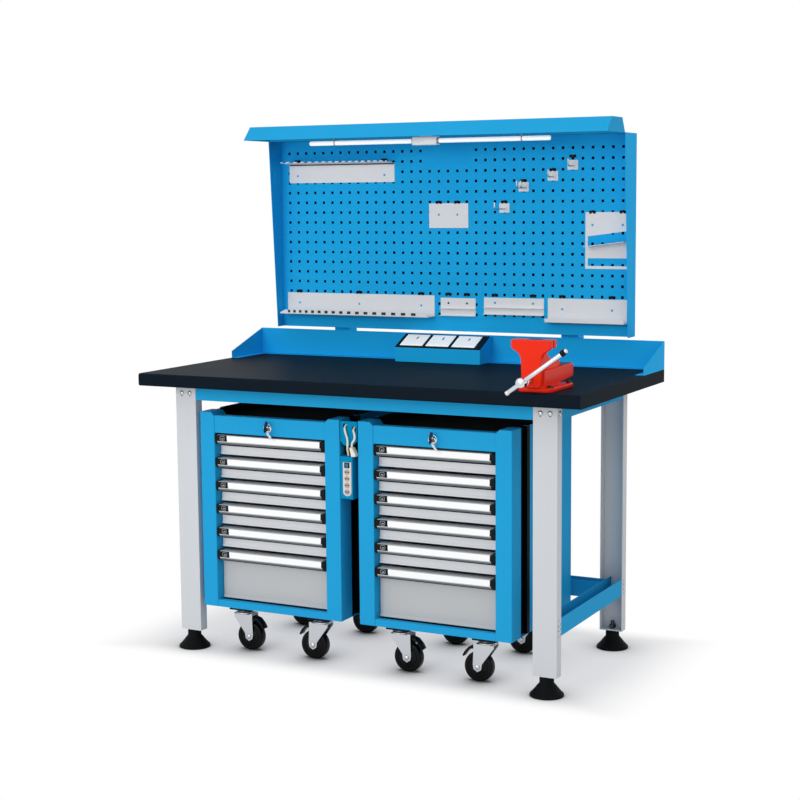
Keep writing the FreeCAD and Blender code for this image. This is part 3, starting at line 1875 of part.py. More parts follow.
def export():
    """Checks the document and every piece, then writes one file for each."""
    doc.recompute()
    failed = [item.Name for item in doc.Objects if {"Invalid", "Error"} & set(item.State)]
    if failed:
        raise RuntimeError(f"objects that failed: {failed}")
    for piece in nodes:
        if piece.Shape.isNull() or not piece.Shape.isValid():
            raise RuntimeError(f"{piece.Label} has no valid shape")
    for piece in nodes:
        piece.Shape.exportStep(f"parts/{piece.Label}.step")
        print(piece.Label, len(piece.Shape.Solids), round(piece.Shape.Volume / 1000, 1))


build()
export()
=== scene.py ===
"""Dresses a workbench with a perforated back panel, a bench vise and two roller cabinets.

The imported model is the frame. Pieces are drawn here in millimetres and made in metres, each
where the solid that it stands for is.
"""

from __future__ import annotations

import json
import logging
import math
from collections.abc import Iterable, Sequence
from dataclasses import dataclass, field
from enum import Enum

import bmesh
import bpy
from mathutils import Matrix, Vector
from mathutils.geometry import delaunay_2d_cdt

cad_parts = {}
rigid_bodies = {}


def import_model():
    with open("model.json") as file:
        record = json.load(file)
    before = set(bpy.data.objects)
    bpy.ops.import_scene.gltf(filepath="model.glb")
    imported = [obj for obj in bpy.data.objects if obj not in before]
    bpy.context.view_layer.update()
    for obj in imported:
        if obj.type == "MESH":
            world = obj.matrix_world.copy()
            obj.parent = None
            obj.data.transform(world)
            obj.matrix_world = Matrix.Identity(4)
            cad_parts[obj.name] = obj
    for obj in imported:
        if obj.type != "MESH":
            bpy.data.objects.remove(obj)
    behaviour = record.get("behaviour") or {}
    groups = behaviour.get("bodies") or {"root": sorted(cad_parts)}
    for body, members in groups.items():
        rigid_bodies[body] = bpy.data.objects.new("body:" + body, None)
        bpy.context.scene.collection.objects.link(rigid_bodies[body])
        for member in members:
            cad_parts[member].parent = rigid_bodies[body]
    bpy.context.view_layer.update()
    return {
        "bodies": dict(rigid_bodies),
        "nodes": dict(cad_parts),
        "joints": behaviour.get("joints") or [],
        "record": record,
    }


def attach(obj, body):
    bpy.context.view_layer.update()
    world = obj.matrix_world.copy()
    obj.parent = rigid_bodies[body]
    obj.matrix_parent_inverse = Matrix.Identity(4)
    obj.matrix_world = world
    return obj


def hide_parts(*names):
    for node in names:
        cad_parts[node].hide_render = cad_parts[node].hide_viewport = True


LOG = logging.getLogger("workbench")
MM = 0.001
BREAK_ANGLE = math.radians(38)

Pair = tuple[float, float]
Span = tuple[float, float]
Loop = Sequence[Pair]


class Axis(Enum):
    """A direction of the shared frame."""

    X = 0
    Y = 1
    Z = 2

    def at(self, along: float, first: float, second: float) -> Vector:
        """Gives the point at a place along this axis and at the other two coordinates."""
        values = [first, second]
        values.insert(self.value, along)
        return Vector(values)


class Slot(Enum):
    """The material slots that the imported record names."""

    WORKTOP = "worktop_board"
    LEG = "leg_grey"
    BLUE = "frame_blue"
    HOLDER = "holder_grey"
    DRAWER = "drawer_grey"
    VISE = "vise_red"
    CHROME = "chrome"
    ZINC = "zinc"
    FOOT = "foot_rubber"
    WHEEL = "wheel_black"
    LAMP = "lamp_white"
    TEAL = "strip_teal"
    CORD = "cord_cream"


# Finishes


def linear(code: str) -> tuple[float, float, float, float]:
    """Turns an sRGB hex colour into linear values.

    Args:
        code: Six hex digits behind a hash.

    Returns:
        Red, green, blue and a full alpha.
    """
    parts = [int(code[start:start + 2], 16) / 255 for start in (1, 3, 5)]
    red, green, blue = (p / 12.92 if p <= 0.04045 else ((p + 0.055) / 1.055) ** 2.4 for p in parts)
    return red, green, blue, 1.0


def add(
    tree: bpy.types.NodeTree,
    kind: str,
    settings: dict[str | int, object] | None = None,
    links: dict[str | int, bpy.types.NodeSocket] | None = None,
) -> bpy.types.Node:
    """Adds a node, sets its properties and input values, and links its inputs.

    Args:
        tree: The tree that gets the node.
        kind: The node's type.
        settings: Values by the name of a property, or by an input's name or number.
        links: Output sockets by the input's name or number.

    Returns:
        The new node.
    """
    made = tree.nodes.new(kind)
    for key, value in (settings or {}).items():
        if isinstance(key, str) and hasattr(made, key):
            setattr(made, key, value)
        else:
            made.inputs[key].default_value = value
    for key, source in (links or {}).items():
        tree.links.new(source, made.inputs[key])
    return made


def bare_tree(owner: bpy.types.Material | bpy.types.World) -> bpy.types.NodeTree:
    """Gives a material or a world an empty node tree."""
    owner.use_nodes = True
    owner.node_tree.nodes.clear()
    return owner.node_tree


def noise(
    tree: bpy.types.NodeTree, size: float, detail: float, place: bpy.types.NodeSocket
) -> bpy.types.NodeSocket:
    """Gives a noise whose grains have a size in millimetres."""
    made = add(tree, "ShaderNodeTexNoise", {"Scale": 1000 / size, "Detail": detail}, {"Vector": place})
    return made.outputs[0]


def maths(
    tree: bpy.types.NodeTree,
    operation: str,
    first: bpy.types.NodeSocket,
    second: bpy.types.NodeSocket | float,
    third: float = 0.0,
) -> bpy.types.NodeSocket:
    """Works out a number from two others, and from a third where the operation has one.

    Args:
        tree: The tree that gets the node.
        operation: What is done with the numbers.
        first: The first number.
        second: The second number, from another node or fixed.
        third: The third number.

    Returns:
        The result.
    """
    settings: dict[str | int, object] = {"operation": operation, 2: third}
    links = {0: first}
    if isinstance(second, float):
        settings[1] = second
    else:
        links[1] = second
    return add(tree, "ShaderNodeMath", settings, links).outputs[0]


def linked(name: str, data: bpy.types.ID) -> bpy.types.Object:
    """Makes an object of its data, in the scene."""
    made = bpy.data.objects.new(name, data)
    bpy.context.scene.collection.objects.link(made)
    return made


@dataclass(frozen=True)
class Finish:
    """What a surface is made of and how it was made. Pattern sizes are in millimetres."""

    name: str
    slot: Slot
    colour: str
    shade: str
    roughness: float = 0.5
    metallic: float = 0.0
    ior: float = 1.5
    specular: float = 0.5
    coat: float = 0.0
    grain: float = 2.0
    relief: float = 0.05
    spread: float = 220.0
    glow: float = 0.0

    def relief_map(self, tree: bpy.types.NodeTree, place: bpy.types.NodeSocket) -> bpy.types.NodeSocket:
        """Gives the height pattern of the surface.

        Args:
            tree: The material's tree.
            place: Object coordinates in metres.

        Returns:
            A height from 0 to 1.
        """
        return noise(tree, self.grain, 2.0, place)

    def material(self) -> bpy.types.Material:
        """Gives the finish's material, made once."""
        made = bpy.data.materials.get(self.name)
        if made:
            return made
        made = bpy.data.materials.new(self.name)
        tree = bare_tree(made)
        place = add(tree, "ShaderNodeTexCoord").outputs["Object"]
        height = self.relief_map(tree, place)
        tone = add(
            tree,
            "ShaderNodeMix",
            {"data_type": "RGBA", 6: linear(self.colour), 7: linear(self.shade)},
            {0: noise(tree, self.spread, 3.0, place)},
        )
        rough = add(
            tree,
            "ShaderNodeMapRange",
            {"To Min": self.roughness * 0.88, "To Max": min(1.0, self.roughness * 1.12)},
            {"Value": height},
        )
        depth = {"Strength": 0.6, "Distance": self.relief * MM}
        bump = add(tree, "ShaderNodeBump", depth, {"Height": height})
        values = {
            "Metallic": self.metallic,
            "IOR": self.ior,
            "Specular IOR Level": self.specular,
            "Coat Weight": self.coat,
            "Coat Roughness": 0.08,
            "Emission Color": linear(self.colour),
            "Emission Strength": self.glow,
        }
        joins = {"Base Color": tone.outputs[2], "Roughness": rough.outputs[0], "Normal": bump.outputs[0]}
        shader = add(tree, "ShaderNodeBsdfPrincipled", values, joins)
        add(tree, "ShaderNodeOutputMaterial", None, {"Surface": shader.outputs[0]})
        return made


@dataclass(frozen=True)
class PowderCoat(Finish):
    """Baked powder paint on sheet steel: satin, with the faint orange peel of melted grains."""

    roughness: float = 0.42
    specular: float = 0.01
    grain: float = 2.4
    relief: float = 0.035

    def relief_map(self, tree: bpy.types.NodeTree, place: bpy.types.NodeSocket) -> bpy.types.NodeSocket:
        """Gives rounded grains that run into each other, drawn a little coarse so that they show."""
        cells = add(
            tree,
            "ShaderNodeTexVoronoi",
            {"feature": "SMOOTH_F1", "Scale": 1000 / self.grain, "Smoothness": 0.8},
            {"Vector": place},
        )
        return cells.outputs["Distance"]


@dataclass(frozen=True)
class CastEnamel(Finish):
    """Gloss enamel over cast iron: the sand mould's lumps show softly under the paint."""

    roughness: float = 0.24
    coat: float = 0.5
    grain: float = 7.0
    relief: float = 0.3

    def relief_map(self, tree: bpy.types.NodeTree, place: bpy.types.NodeSocket) -> bpy.types.NodeSocket:
        """Gives broad lumps with finer grains of sand on them."""
        fine = noise(tree, self.grain / 3, 4.0, place)
        lumps = super().relief_map(tree, place)
        both = add(tree, "ShaderNodeMix", {"data_type": "FLOAT", 0: 0.25}, {2: lumps, 3: fine})
        return both.outputs[0]


@dataclass(frozen=True)
class Laminate(Finish):
    """Pressed laminate on board: a dark, closed surface with a pebble texture and little gloss."""

    grain: float = 1.6
    relief: float = 0.06

    def relief_map(self, tree: bpy.types.NodeTree, place: bpy.types.NodeSocket) -> bpy.types.NodeSocket:
        """Gives the pebbles that the press plate leaves."""
        cells = add(tree, "ShaderNodeTexVoronoi", {"Scale": 1000 / self.grain}, {"Vector": place})
        return cells.outputs["Distance"]


@dataclass(frozen=True)
class Plated(Finish):
    """Zinc or chrome on turned or drawn steel: metallic, with fine draw lines along one axis."""

    metallic: float = 1.0
    grain: float = 0.8
    relief: float = 0.01
    lines: tuple[float, float, float] = (1.0, 1.0, 0.08)

    def relief_map(self, tree: bpy.types.NodeTree, place: bpy.types.NodeSocket) -> bpy.types.NodeSocket:
        """Gives the draw lines, as noise that is stretched along them."""
        drawn = add(tree, "ShaderNodeMapping", {"Scale": self.lines}, {"Vector": place})
        return super().relief_map(tree, drawn.outputs[0])


@dataclass(frozen=True)
class Moulded(Finish):
    """Moulded ABS or nylon: even, with the fine spark texture of the mould."""

    grain: float = 0.9
    relief: float = 0.03


@dataclass(frozen=True)
class Rubber(Finish):
    """Moulded rubber: dull, with a bloom that makes its tone uneven."""

    roughness: float = 0.62
    grain: float = 3.0
    relief: float = 0.12
    spread: float = 30.0


BLUE_COAT = PowderCoat("powder_coat_blue", Slot.BLUE, "#269FD6", "#239AD1")
# A lighter copy of the same blue for the panel, upstand and socket case, painting the extra light on the upper
# parts.
PANEL_COAT = PowderCoat("powder_coat_blue_painted_lighter", Slot.BLUE, "#1FABEB", "#1CA6E5")
LEG_COAT = PowderCoat("powder_coat_light_grey", Slot.LEG, "#CCD0D5", "#C8CCD1")
HOLDER_COAT = PowderCoat("powder_coat_pale_grey", Slot.HOLDER, "#E2E5E9", "#DEE1E5")
DRAWER_COAT = PowderCoat("powder_coat_silver_grey", Slot.DRAWER, "#E1E3E7", "#DCDEE2")
# The deep drawer's front is drawn a darker grey than the shallow drawers' fronts.
DEEP_COAT = PowderCoat("powder_coat_grey_deep_drawer", Slot.DRAWER, "#BEC0C2", "#BABCBE")
TEAL_COAT = PowderCoat("powder_coat_teal", Slot.TEAL, "#068ABA", "#0584B2")
# Its navy-black tone is the laminate's black with a painted sheen mixed in; its reflection is turned almost
# off.
TOP_BOARD = Laminate("laminate_black_painted_sheen", Slot.WORKTOP, "#131D27", "#101921", roughness=0.5, specular=0.015)
TRAY_MAT = Rubber("ribbed_mat_black", Slot.WHEEL, "#121416", "#0F1113", roughness=0.8, specular=0.15)
# Black sheet: the dark back inside the panel and part of the recess trim are black things; the strips under the
# drawer lips, in the recesses, on the tray's walls and behind the power strip's gap are painted shade.
DARK_SHEET = PowderCoat("black_sheet_and_painted_shade", Slot.WHEEL, "#090B0E", "#07090C", roughness=0.5, specular=0.03)
# Dark grey that paints shade: the shadow under the bit rail's ledge and the shade seen through the wrench
# rack's slots.
SHADE_SHEET = PowderCoat("painted_shade_dark_grey", Slot.HOLDER, "#3B4248", "#363C42")
GRIP_METAL = Plated(
    "anodised_aluminium", Slot.DRAWER, "#C9CED2", "#C2C7CB",
    roughness=0.42, metallic=0.6, lines=(0.05, 1.0, 1.0),
)
# A darker copy of the grip's aluminium for the lip's curl: painted shade, with the grip's bead above it left
# light as its lit edge.
LIP_METAL = Plated(
    "anodised_aluminium_painted_shade", Slot.DRAWER, "#6E757B", "#676E74",
    roughness=0.4, metallic=0.35, lines=(0.05, 1.0, 1.0),
)
LABEL_STRIP = Moulded("label_strip_white", Slot.DRAWER, "#F7F8F9", "#F3F4F5", roughness=0.3)
BLACK_ABS = Moulded("abs_black", Slot.WHEEL, "#0B0D0F", "#090A0C", roughness=0.38, specular=0.12)
WHITE_ABS = Moulded("abs_white", Slot.LAMP, "#F4F5F4", "#EFF0EF", roughness=0.34)
STRIP_ABS = Moulded("abs_warm_white", Slot.LAMP, "#D6D1CD", "#CFCAC6", roughness=0.34, specular=0.2)
# The tubes glow a little as painted light, to stay white in the canopy's shade; the lamp is not lit.
LAMP_TUBE = Moulded("opal_polycarbonate_painted_glow", Slot.LAMP, "#FBFCFD", "#F7F8F9", roughness=0.3, glow=0.35)
VISE_PAINT = CastEnamel("cast_enamel_red", Slot.VISE, "#EC2E14", "#E42A11", specular=0.05, coat=0.06)
BARE_STEEL = Plated("ground_steel_dark", Slot.ZINC, "#4A4D52", "#3F4247", roughness=0.45)
CHROME = Plated("chromium_plate", Slot.CHROME, "#D8DADE", "#CFD2D7", roughness=0.16)
ZINC = Plated("zinc_plate", Slot.ZINC, "#C6C9CD", "#B9BDC2", roughness=0.36)
FOOT_RUBBER = Rubber("foot_rubber_black", Slot.FOOT, "#0D0F11", "#0A0C0E", specular=0.06)
TYRE = Rubber(
    "tyre_rubber_black", Slot.WHEEL, "#08090B", "#060709", roughness=0.3, specular=0.12, relief=0.04
)
CORD_SHEATH = Rubber("cord_sheath_cream", Slot.CORD, "#E6E0D2", "#DED8C9", roughness=0.5, relief=0.05)
SOCKET_FACE = Moulded("socket_pale", Slot.LAMP, "#AFA9A6", "#A8A29F", roughness=0.4, specular=0.2)
SOCKET_RED = Moulded("socket_shutter_red", Slot.VISE, "#C9483C", "#C04237", roughness=0.4)
BRASS = Plated("brass_lock", Slot.ZINC, "#A39A78", "#989070", roughness=0.35)
BOW_BLUE = Moulded("abs_dark_blue", Slot.WHEEL, "#0B1E3C", "#0A1B35", roughness=0.4, specular=0.2)
# Glows a little as painted light, lifting the covers out of the panel's shade.
COVER_ABS = Moulded("abs_white_painted_glow", Slot.LAMP, "#FBFCFB", "#F7F8F7", roughness=0.3, glow=0.14)
SATIN_STEEL = Plated("satin_steel", Slot.ZINC, "#9DA3A8", "#94999E", roughness=0.4, metallic=0.7)
SOCKET_DARK = Moulded("socket_grey", Slot.TEAL, "#3B4046", "#33383E", roughness=0.5)
SWITCH_TEAL = Moulded("switch_teal", Slot.TEAL, "#0B6E90", "#0A6684", roughness=0.3)


# Meshes


def eased(outline: Loop, radius: float | dict[int, float], steps: int = 4) -> list[Pair]:
    """Rounds the corners of a closed outline.

    Args:
        outline: The corners in order.
        radius: One radius, or a radius for each corner number that is rounded.
        steps: Straight pieces in each arc.

    Returns:
        The outline with arcs in its corners.
    """
    count = len(outline)
    rounded: list[Pair] = []
    for index, corner in enumerate(outline):
        wanted = radius.get(index, 0.0) if isinstance(radius, dict) else radius
        here = Vector(corner)
        back = Vector(outline[index - 1]) - here
        ahead = Vector(outline[(index + 1) % count]) - here
        half = back.angle(ahead) / 2
        if wanted <= 0 or abs(half - math.pi / 2) < 1e-3:
            rounded.append((here.x, here.y))
            continue
        inset = min(wanted / math.tan(half), 0.48 * back.length, 0.48 * ahead.length)
        true_radius = inset * math.tan(half)
        middle = here + (back.normalized() + ahead.normalized()).normalized() * (true_radius / math.sin(half))
        start = here + back.normalized() * inset - middle
        end = here + ahead.normalized() * inset - middle
        sweep = start.angle_signed(end)
        for step in range(steps + 1):
            turn = -sweep * step / steps
            across = start.x * math.cos(turn) - start.y * math.sin(turn)
            up = start.x * math.sin(turn) + start.y * math.cos(turn)
            rounded.append((middle.x + across, middle.y + up))
    return rounded


def circle(centre: Pair, radius: float, steps: int = 14) -> list[Pair]:
    """Gives the corners of a regular outline round a centre."""
    turns = [2 * math.pi * step / steps for step in range(steps)]
    return [(centre[0] + radius * math.cos(turn), centre[1] + radius * math.sin(turn)) for turn in turns]


def rectangle(first: Span, second: Span) -> list[Pair]:
    """Gives the corners of a rectangle from its span along each of the outline's two axes."""
    return [(first[0], second[0]), (first[1], second[0]), (first[1], second[1]), (first[0], second[1])]


def ordered(first: float, second: float) -> Span:
    """Gives a span from its two ends, whichever is the lower."""
    return (first, second) if first <= second else (second, first)


@dataclass
class Draft:
    """A piece that is being drawn, in millimetres, out of closed solids."""

    points: list[Vector] = field(default_factory=list)
    faces: list[tuple[list[int], bool]] = field(default_factory=list)

    def solid(
        self, points: Iterable[Vector], faces: Iterable[Sequence[int]], soft: bool | list[bool]
    ) -> None:
        """Adds one closed solid.

        Args:
            points: Its corners.
            faces: Its faces, as numbers of corners.
            soft: Whether its faces are shaded as curved, for all or for each face.
        """
        start = len(self.points)
        self.points.extend(points)
        listed = list(faces)
        flags = soft if isinstance(soft, list) else [soft] * len(listed)
        self.faces.extend(([start + number for number in face], flag) for face, flag in zip(listed, flags))

    def box(self, x: Span, y: Span, z: Span) -> Draft:
        """Adds a block between its low and high coordinates."""
        return self.prism(Axis.Y, rectangle(x, z), y)

    def prism(self, axis: Axis, outline: Loop, span: Span, soft: bool = False) -> Draft:
        """Adds an outline drawn across an axis and stretched along it.

        Args:
            axis: The axis that it is stretched along.
            outline: Its corners, in the order of the two other axes.
            span: Where it starts and ends.
            soft: Whether its sides are shaded as curved.

        Returns:
            This draft.
        """
        count = len(outline)
        points = [axis.at(end, *corner) for end in span for corner in outline]
        sides = [(i, (i + 1) % count, count + (i + 1) % count, count + i) for i in range(count)]
        caps = [list(range(count)), list(range(count, 2 * count))]
        self.solid(points, [*sides, *caps], [soft] * count + [False, False])
        return self

    def plate(self, axis: Axis, outline: Loop, holes: Sequence[Loop], span: Span) -> Draft:
        """Adds a sheet with holes through it.

        Args:
            axis: The axis across the sheet.
            outline: Its outer corners.
            holes: The corners of each hole.
            span: The sheet's two faces.

        Returns:
            This draft.
        """
        loops = [list(outline), *[list(hole) for hole in holes]]
        flat = [Vector(corner) for loop in loops for corner in loop]
        rings: list[list[int]] = []
        start = 0
        for loop in loops:
            rings.append(list(range(start, start + len(loop))))
            start += len(loop)
        found, _, triangles, origins, _, _ = delaunay_2d_cdt(flat, [], rings, 2, 1e-6)
        place_of = {old: new for new, olds in enumerate(origins) for old in olds}
        count = len(found)
        points = [axis.at(end, corner.x, corner.y) for end in span for corner in found]
        faces = [list(face) for face in triangles]
        faces += [[count + number for number in face] for face in triangles]
        for ring in rings:
            for first, second in zip(ring, ring[1:] + ring[:1]):
                low, high = place_of[first], place_of[second]
                faces.append([low, high, count + high, count + low])
        self.solid(points, faces, False)
        return self

    def lathe(
        self,
        axis: Axis,
        centre: Pair,
        profile: Loop,
        steps: int = 32,
        closed: bool = False,
        soft: bool = True,
    ) -> Draft:
        """Adds a turned solid.

        Args:
            axis: The axis that it is turned about.
            centre: The axis's other two coordinates.
            profile: Pairs of radius and place along the axis.
            steps: Straight pieces round the axis.
            closed: Whether the profile's end joins its start, as on a ring.
            soft: Whether it is shaded as curved.

        Returns:
            This draft.
        """
        points: list[Vector] = []
        rings: list[list[int]] = []
        for radius, along in profile:
            first = len(points)
            if radius < 1e-6:
                points.append(axis.at(along, *centre))
            else:
                points.extend(axis.at(along, *corner) for corner in circle(centre, radius, steps))
            rings.append(list(range(first, len(points))))
        faces: list[list[int]] = []
        following = [*rings[1:], rings[0]] if closed else rings[1:]
        for low, high in zip(rings, following):
            for step in range(steps):
                ahead = (step + 1) % steps
                corners = (
                    low[step % len(low)],
                    low[ahead % len(low)],
                    high[ahead % len(high)],
                    high[step % len(high)],
                )
                face = list(dict.fromkeys(corners))
                if len(face) > 2:
                    faces.append(face)
        flags = [soft] * len(faces)
        if not closed:
            ends = [ring for ring in (rings[0], rings[-1]) if len(ring) > 1]
            faces += ends
            flags += [False] * len(ends)
        self.solid(points, faces, flags)
        return self

    def tube(self, path: Iterable[Sequence[float]], radius: float, sides: int = 12) -> Draft:
        """Adds a round bar along a path.

        Args:
            path: The points of its middle line.
            radius: Its radius.
            sides: Straight pieces round it.

        Returns:
            This draft.
        """
        line = [Vector(point) for point in path]
        side = (line[1] - line[0]).orthogonal().normalized()
        points: list[Vector] = []
        for number, point in enumerate(line):
            ahead = (line[min(number + 1, len(line) - 1)] - line[max(number - 1, 0)]).normalized()
            side = (side - ahead * side.dot(ahead)).normalized()
            up = ahead.cross(side)
            points += [point + side * across + up * rise for across, rise in circle((0, 0), radius, sides)]
        faces: list[list[int]] = []
        for ring in range(len(line) - 1):
            low = ring * sides
            for step in range(sides):
                ahead = (step + 1) % sides
                faces.append([low + step, low + ahead, low + sides + ahead, low + sides + step])
        last = (len(line) - 1) * sides
        ends = [list(range(sides)), list(range(last, last + sides))]
        self.solid(points, [*faces, *ends], [True] * len(faces) + [False, False])
        return self

    def mesh(self, name: str, bevel: float = 0.0, segments: int = 2) -> bpy.types.Mesh:
        """Makes the drawn solids a mesh in metres.

        Args:
            name: The mesh's name.
            bevel: How far its hard edges are rounded.
            segments: Straight pieces in each rounded edge.

        Returns:
            The mesh, its faces pointing outwards.
        """
        shape = bmesh.new()
        corners = [shape.verts.new(point * MM) for point in self.points]
        for numbers, soft in self.faces:
            shape.faces.new([corners[number] for number in numbers]).smooth = soft
        bmesh.ops.recalc_face_normals(shape, faces=shape.faces)
        if bevel:
            hard = [edge for edge in shape.edges if edge.is_manifold and edge.calc_face_angle() > BREAK_ANGLE]
            eased_edges = bmesh.ops.bevel(
                shape,
                geom=hard,
                offset=bevel * MM,
                offset_type="OFFSET",
                segments=segments,
                profile=0.5,
                affect="EDGES",
                clamp_overlap=True,
            )
            for face in eased_edges["faces"]:
                face.smooth = True
        for edge in shape.edges:
            if edge.is_manifold and edge.calc_face_angle() > BREAK_ANGLE:
                edge.smooth = False
        made = bpy.data.meshes.new(name)
        shape.to_mesh(made)
        shape.free()
        return made

    def piece(
        self,
        name: str,
        finish: Finish,
        body: str,
        bevel: float = 0.0,
        replaces: Sequence[str] = (),
        segments: int = 2,
    ) -> bpy.types.Object:
        """Makes the drawn solids a piece of the scene.

        Args:
            name: The piece's name.
            finish: What it is made of.
            body: The body that it rides on.
            bevel: How far its hard edges are rounded.
            replaces: The solids of the frame that it stands for.
            segments: Straight pieces in each rounded edge.

        Returns:
            The piece.
        """
        made = self.mesh(name, bevel, segments)
        made.materials.append(finish.material())
        return settle(linked(name, made), body, replaces)


def settle(
    piece: bpy.types.Object, body: str, replaces: Sequence[str] = ()
) -> bpy.types.Object:
    """Puts a finished piece on its body.

    Args:
        piece: The piece, its place in its mesh.
        body: The body that it rides on.
        replaces: The solids of the frame that it stands for.

    Returns:
        The piece.
    """
    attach(piece, body)
    if replaces:
        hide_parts(*replaces)
    LOG.info("%s rides on %s", piece.name, body)
    return piece


# Repeats


def new_tree(name: str, inputs: dict[str, str]) -> tuple[bpy.types.NodeTree, bpy.types.Node]:
    """Starts a Geometry Nodes tree.

    Args:
        name: The tree's name.
        inputs: The socket type of each input, by its name.

    Returns:
        The tree and its input node.
    """
    tree = bpy.data.node_groups.new(name, "GeometryNodeTree")
    tree.interface.new_socket(name="Geometry", in_out="INPUT", socket_type="NodeSocketGeometry")
    for title, kind in inputs.items():
        tree.interface.new_socket(name=title, in_out="INPUT", socket_type=kind)
    tree.interface.new_socket(name="Geometry", in_out="OUTPUT", socket_type="NodeSocketGeometry")
    return tree, add(tree, "NodeGroupInput")


def close_tree(tree: bpy.types.NodeTree, placed: bpy.types.Node, given: bpy.types.Node) -> None:
    """Ends a tree: makes its instances real and gives them their material."""
    real = add(tree, "GeometryNodeRealizeInstances", None, {"Geometry": placed.outputs[0]})
    joins = {"Geometry": real.outputs[0], "Material": given.outputs["Coat"]}
    coated = add(tree, "GeometryNodeSetMaterial", None, joins)
    add(tree, "NodeGroupOutput", None, {"Geometry": coated.outputs[0]})


def copies_tree() -> bpy.types.NodeTree:
    """Gives the tree that sets one shape at every point of a cloud, turned as the point says."""
    name = "shape_at_every_point"
    if name in bpy.data.node_groups:
        return bpy.data.node_groups[name]
    tree, given = new_tree(name, {"Shape": "NodeSocketObject", "Coat": "NodeSocketMaterial"})
    shape = add(tree, "GeometryNodeObjectInfo", None, {"Object": given.outputs["Shape"]})
    turn = add(tree, "GeometryNodeInputNamedAttribute", {"data_type": "FLOAT_VECTOR", "Name": "turn"})
    joins = {
        "Points": given.outputs["Geometry"],
        "Instance": shape.outputs["Geometry"],
        "Rotation": turn.outputs[0],
    }
    placed = add(tree, "GeometryNodeInstanceOnPoints", None, joins)
    close_tree(tree, placed, given)
    return tree


def row_tree() -> bpy.types.NodeTree:
    """Gives the tree that repeats a block along a line."""
    name = "blocks_in_a_row"
    if name in bpy.data.node_groups:
        return bpy.data.node_groups[name]
    tree, given = new_tree(
        name,
        {
            "Count": "NodeSocketInt",
            "Start": "NodeSocketVector",
            "Step": "NodeSocketVector",
            "Block": "NodeSocketVector",
            "Coat": "NodeSocketMaterial",
        },
    )
    joins = {
        "Count": given.outputs["Count"],
        "Start Location": given.outputs["Start"],
        "Offset": given.outputs["Step"],
    }
    line = add(tree, "GeometryNodeMeshLine", {"mode": "OFFSET"}, joins)
    block = add(tree, "GeometryNodeMeshCube", None, {"Size": given.outputs["Block"]})
    joins = {"Points": line.outputs[0], "Instance": block.outputs[0]}
    placed = add(tree, "GeometryNodeInstanceOnPoints", None, joins)
    close_tree(tree, placed, given)
    return tree


def grown(
    name: str,
    tree: bpy.types.NodeTree,
    base: bpy.types.Mesh,
    values: dict[str, object],
    finish: Finish,
    body: str,
) -> bpy.types.Object:
    """Runs a tree on a base mesh and keeps the result as a plain mesh.

    Args:
        name: The piece's name.
        tree: The Geometry Nodes tree.
        base: The mesh that it starts from.
        values: The tree's inputs by name.
        finish: What the piece is made of.
        body: The body that it rides on.

    Returns:
        The piece.
    """
    made = linked(name, base)
    modifier = made.modifiers.new("Repeat", "NODES")
    modifier.node_group = tree
    sockets = {item.name: item.identifier for item in tree.interface.items_tree if item.in_out == "INPUT"}
    for title, value in {**values, "Coat": finish.material()}.items():
        modifier[sockets[title]] = value
    graph = bpy.context.evaluated_depsgraph_get()
    plain = bpy.data.meshes.new_from_object(made.evaluated_get(graph))
    made.modifiers.clear()
    made.data = plain
    return settle(made, body)


def copies(
    name: str,
    shape: Draft,
    places: Sequence[tuple[Vector, Vector]],
    finish: Finish,
    body: str,
    bevel: float = 0.0,
) -> bpy.types.Object:
    """Sets a shape, drawn about its own origin with Z outwards, at many places.

    Args:
        name: The piece's name.
        shape: The repeated shape.
        places: Each place with the way that the shape's Z points there.
        finish: What it is made of.
        body: The body that it rides on.
        bevel: How far the shape's hard edges are rounded.

    Returns:
        The piece.
    """
    pattern = linked("pattern", shape.mesh("pattern", bevel))
    cloud = bpy.data.meshes.new(name)
    cloud.from_pydata([place * MM for place, _ in places], [], [])
    turn = cloud.attributes.new("turn", "FLOAT_VECTOR", "POINT")
    for index, (_, facing) in enumerate(places):
        turn.data[index].vector = facing.to_track_quat("Z", "Y").to_euler()
    made = grown(name, copies_tree(), cloud, {"Shape": pattern}, finish, body)
    bpy.data.objects.remove(pattern)
    return made


def row(
    name: str, count: int, start: Vector, step: Vector, block: Vector, finish: Finish, body: str
) -> bpy.types.Object:
    """Repeats a block along a line.

    Args:
        name: The piece's name.
        count: How many blocks.
        start: The middle of the first one.
        step: From one middle to the next.
        block: The block's size along each axis.
        finish: What it is made of.
        body: The body that it rides on.

    Returns:
        The piece.
    """
    values = {"Count": count, "Start": start * MM, "Step": step * MM, "Block": block * MM}
    return grown(name, row_tree(), bpy.data.meshes.new(name), values, finish, body)


# Bench


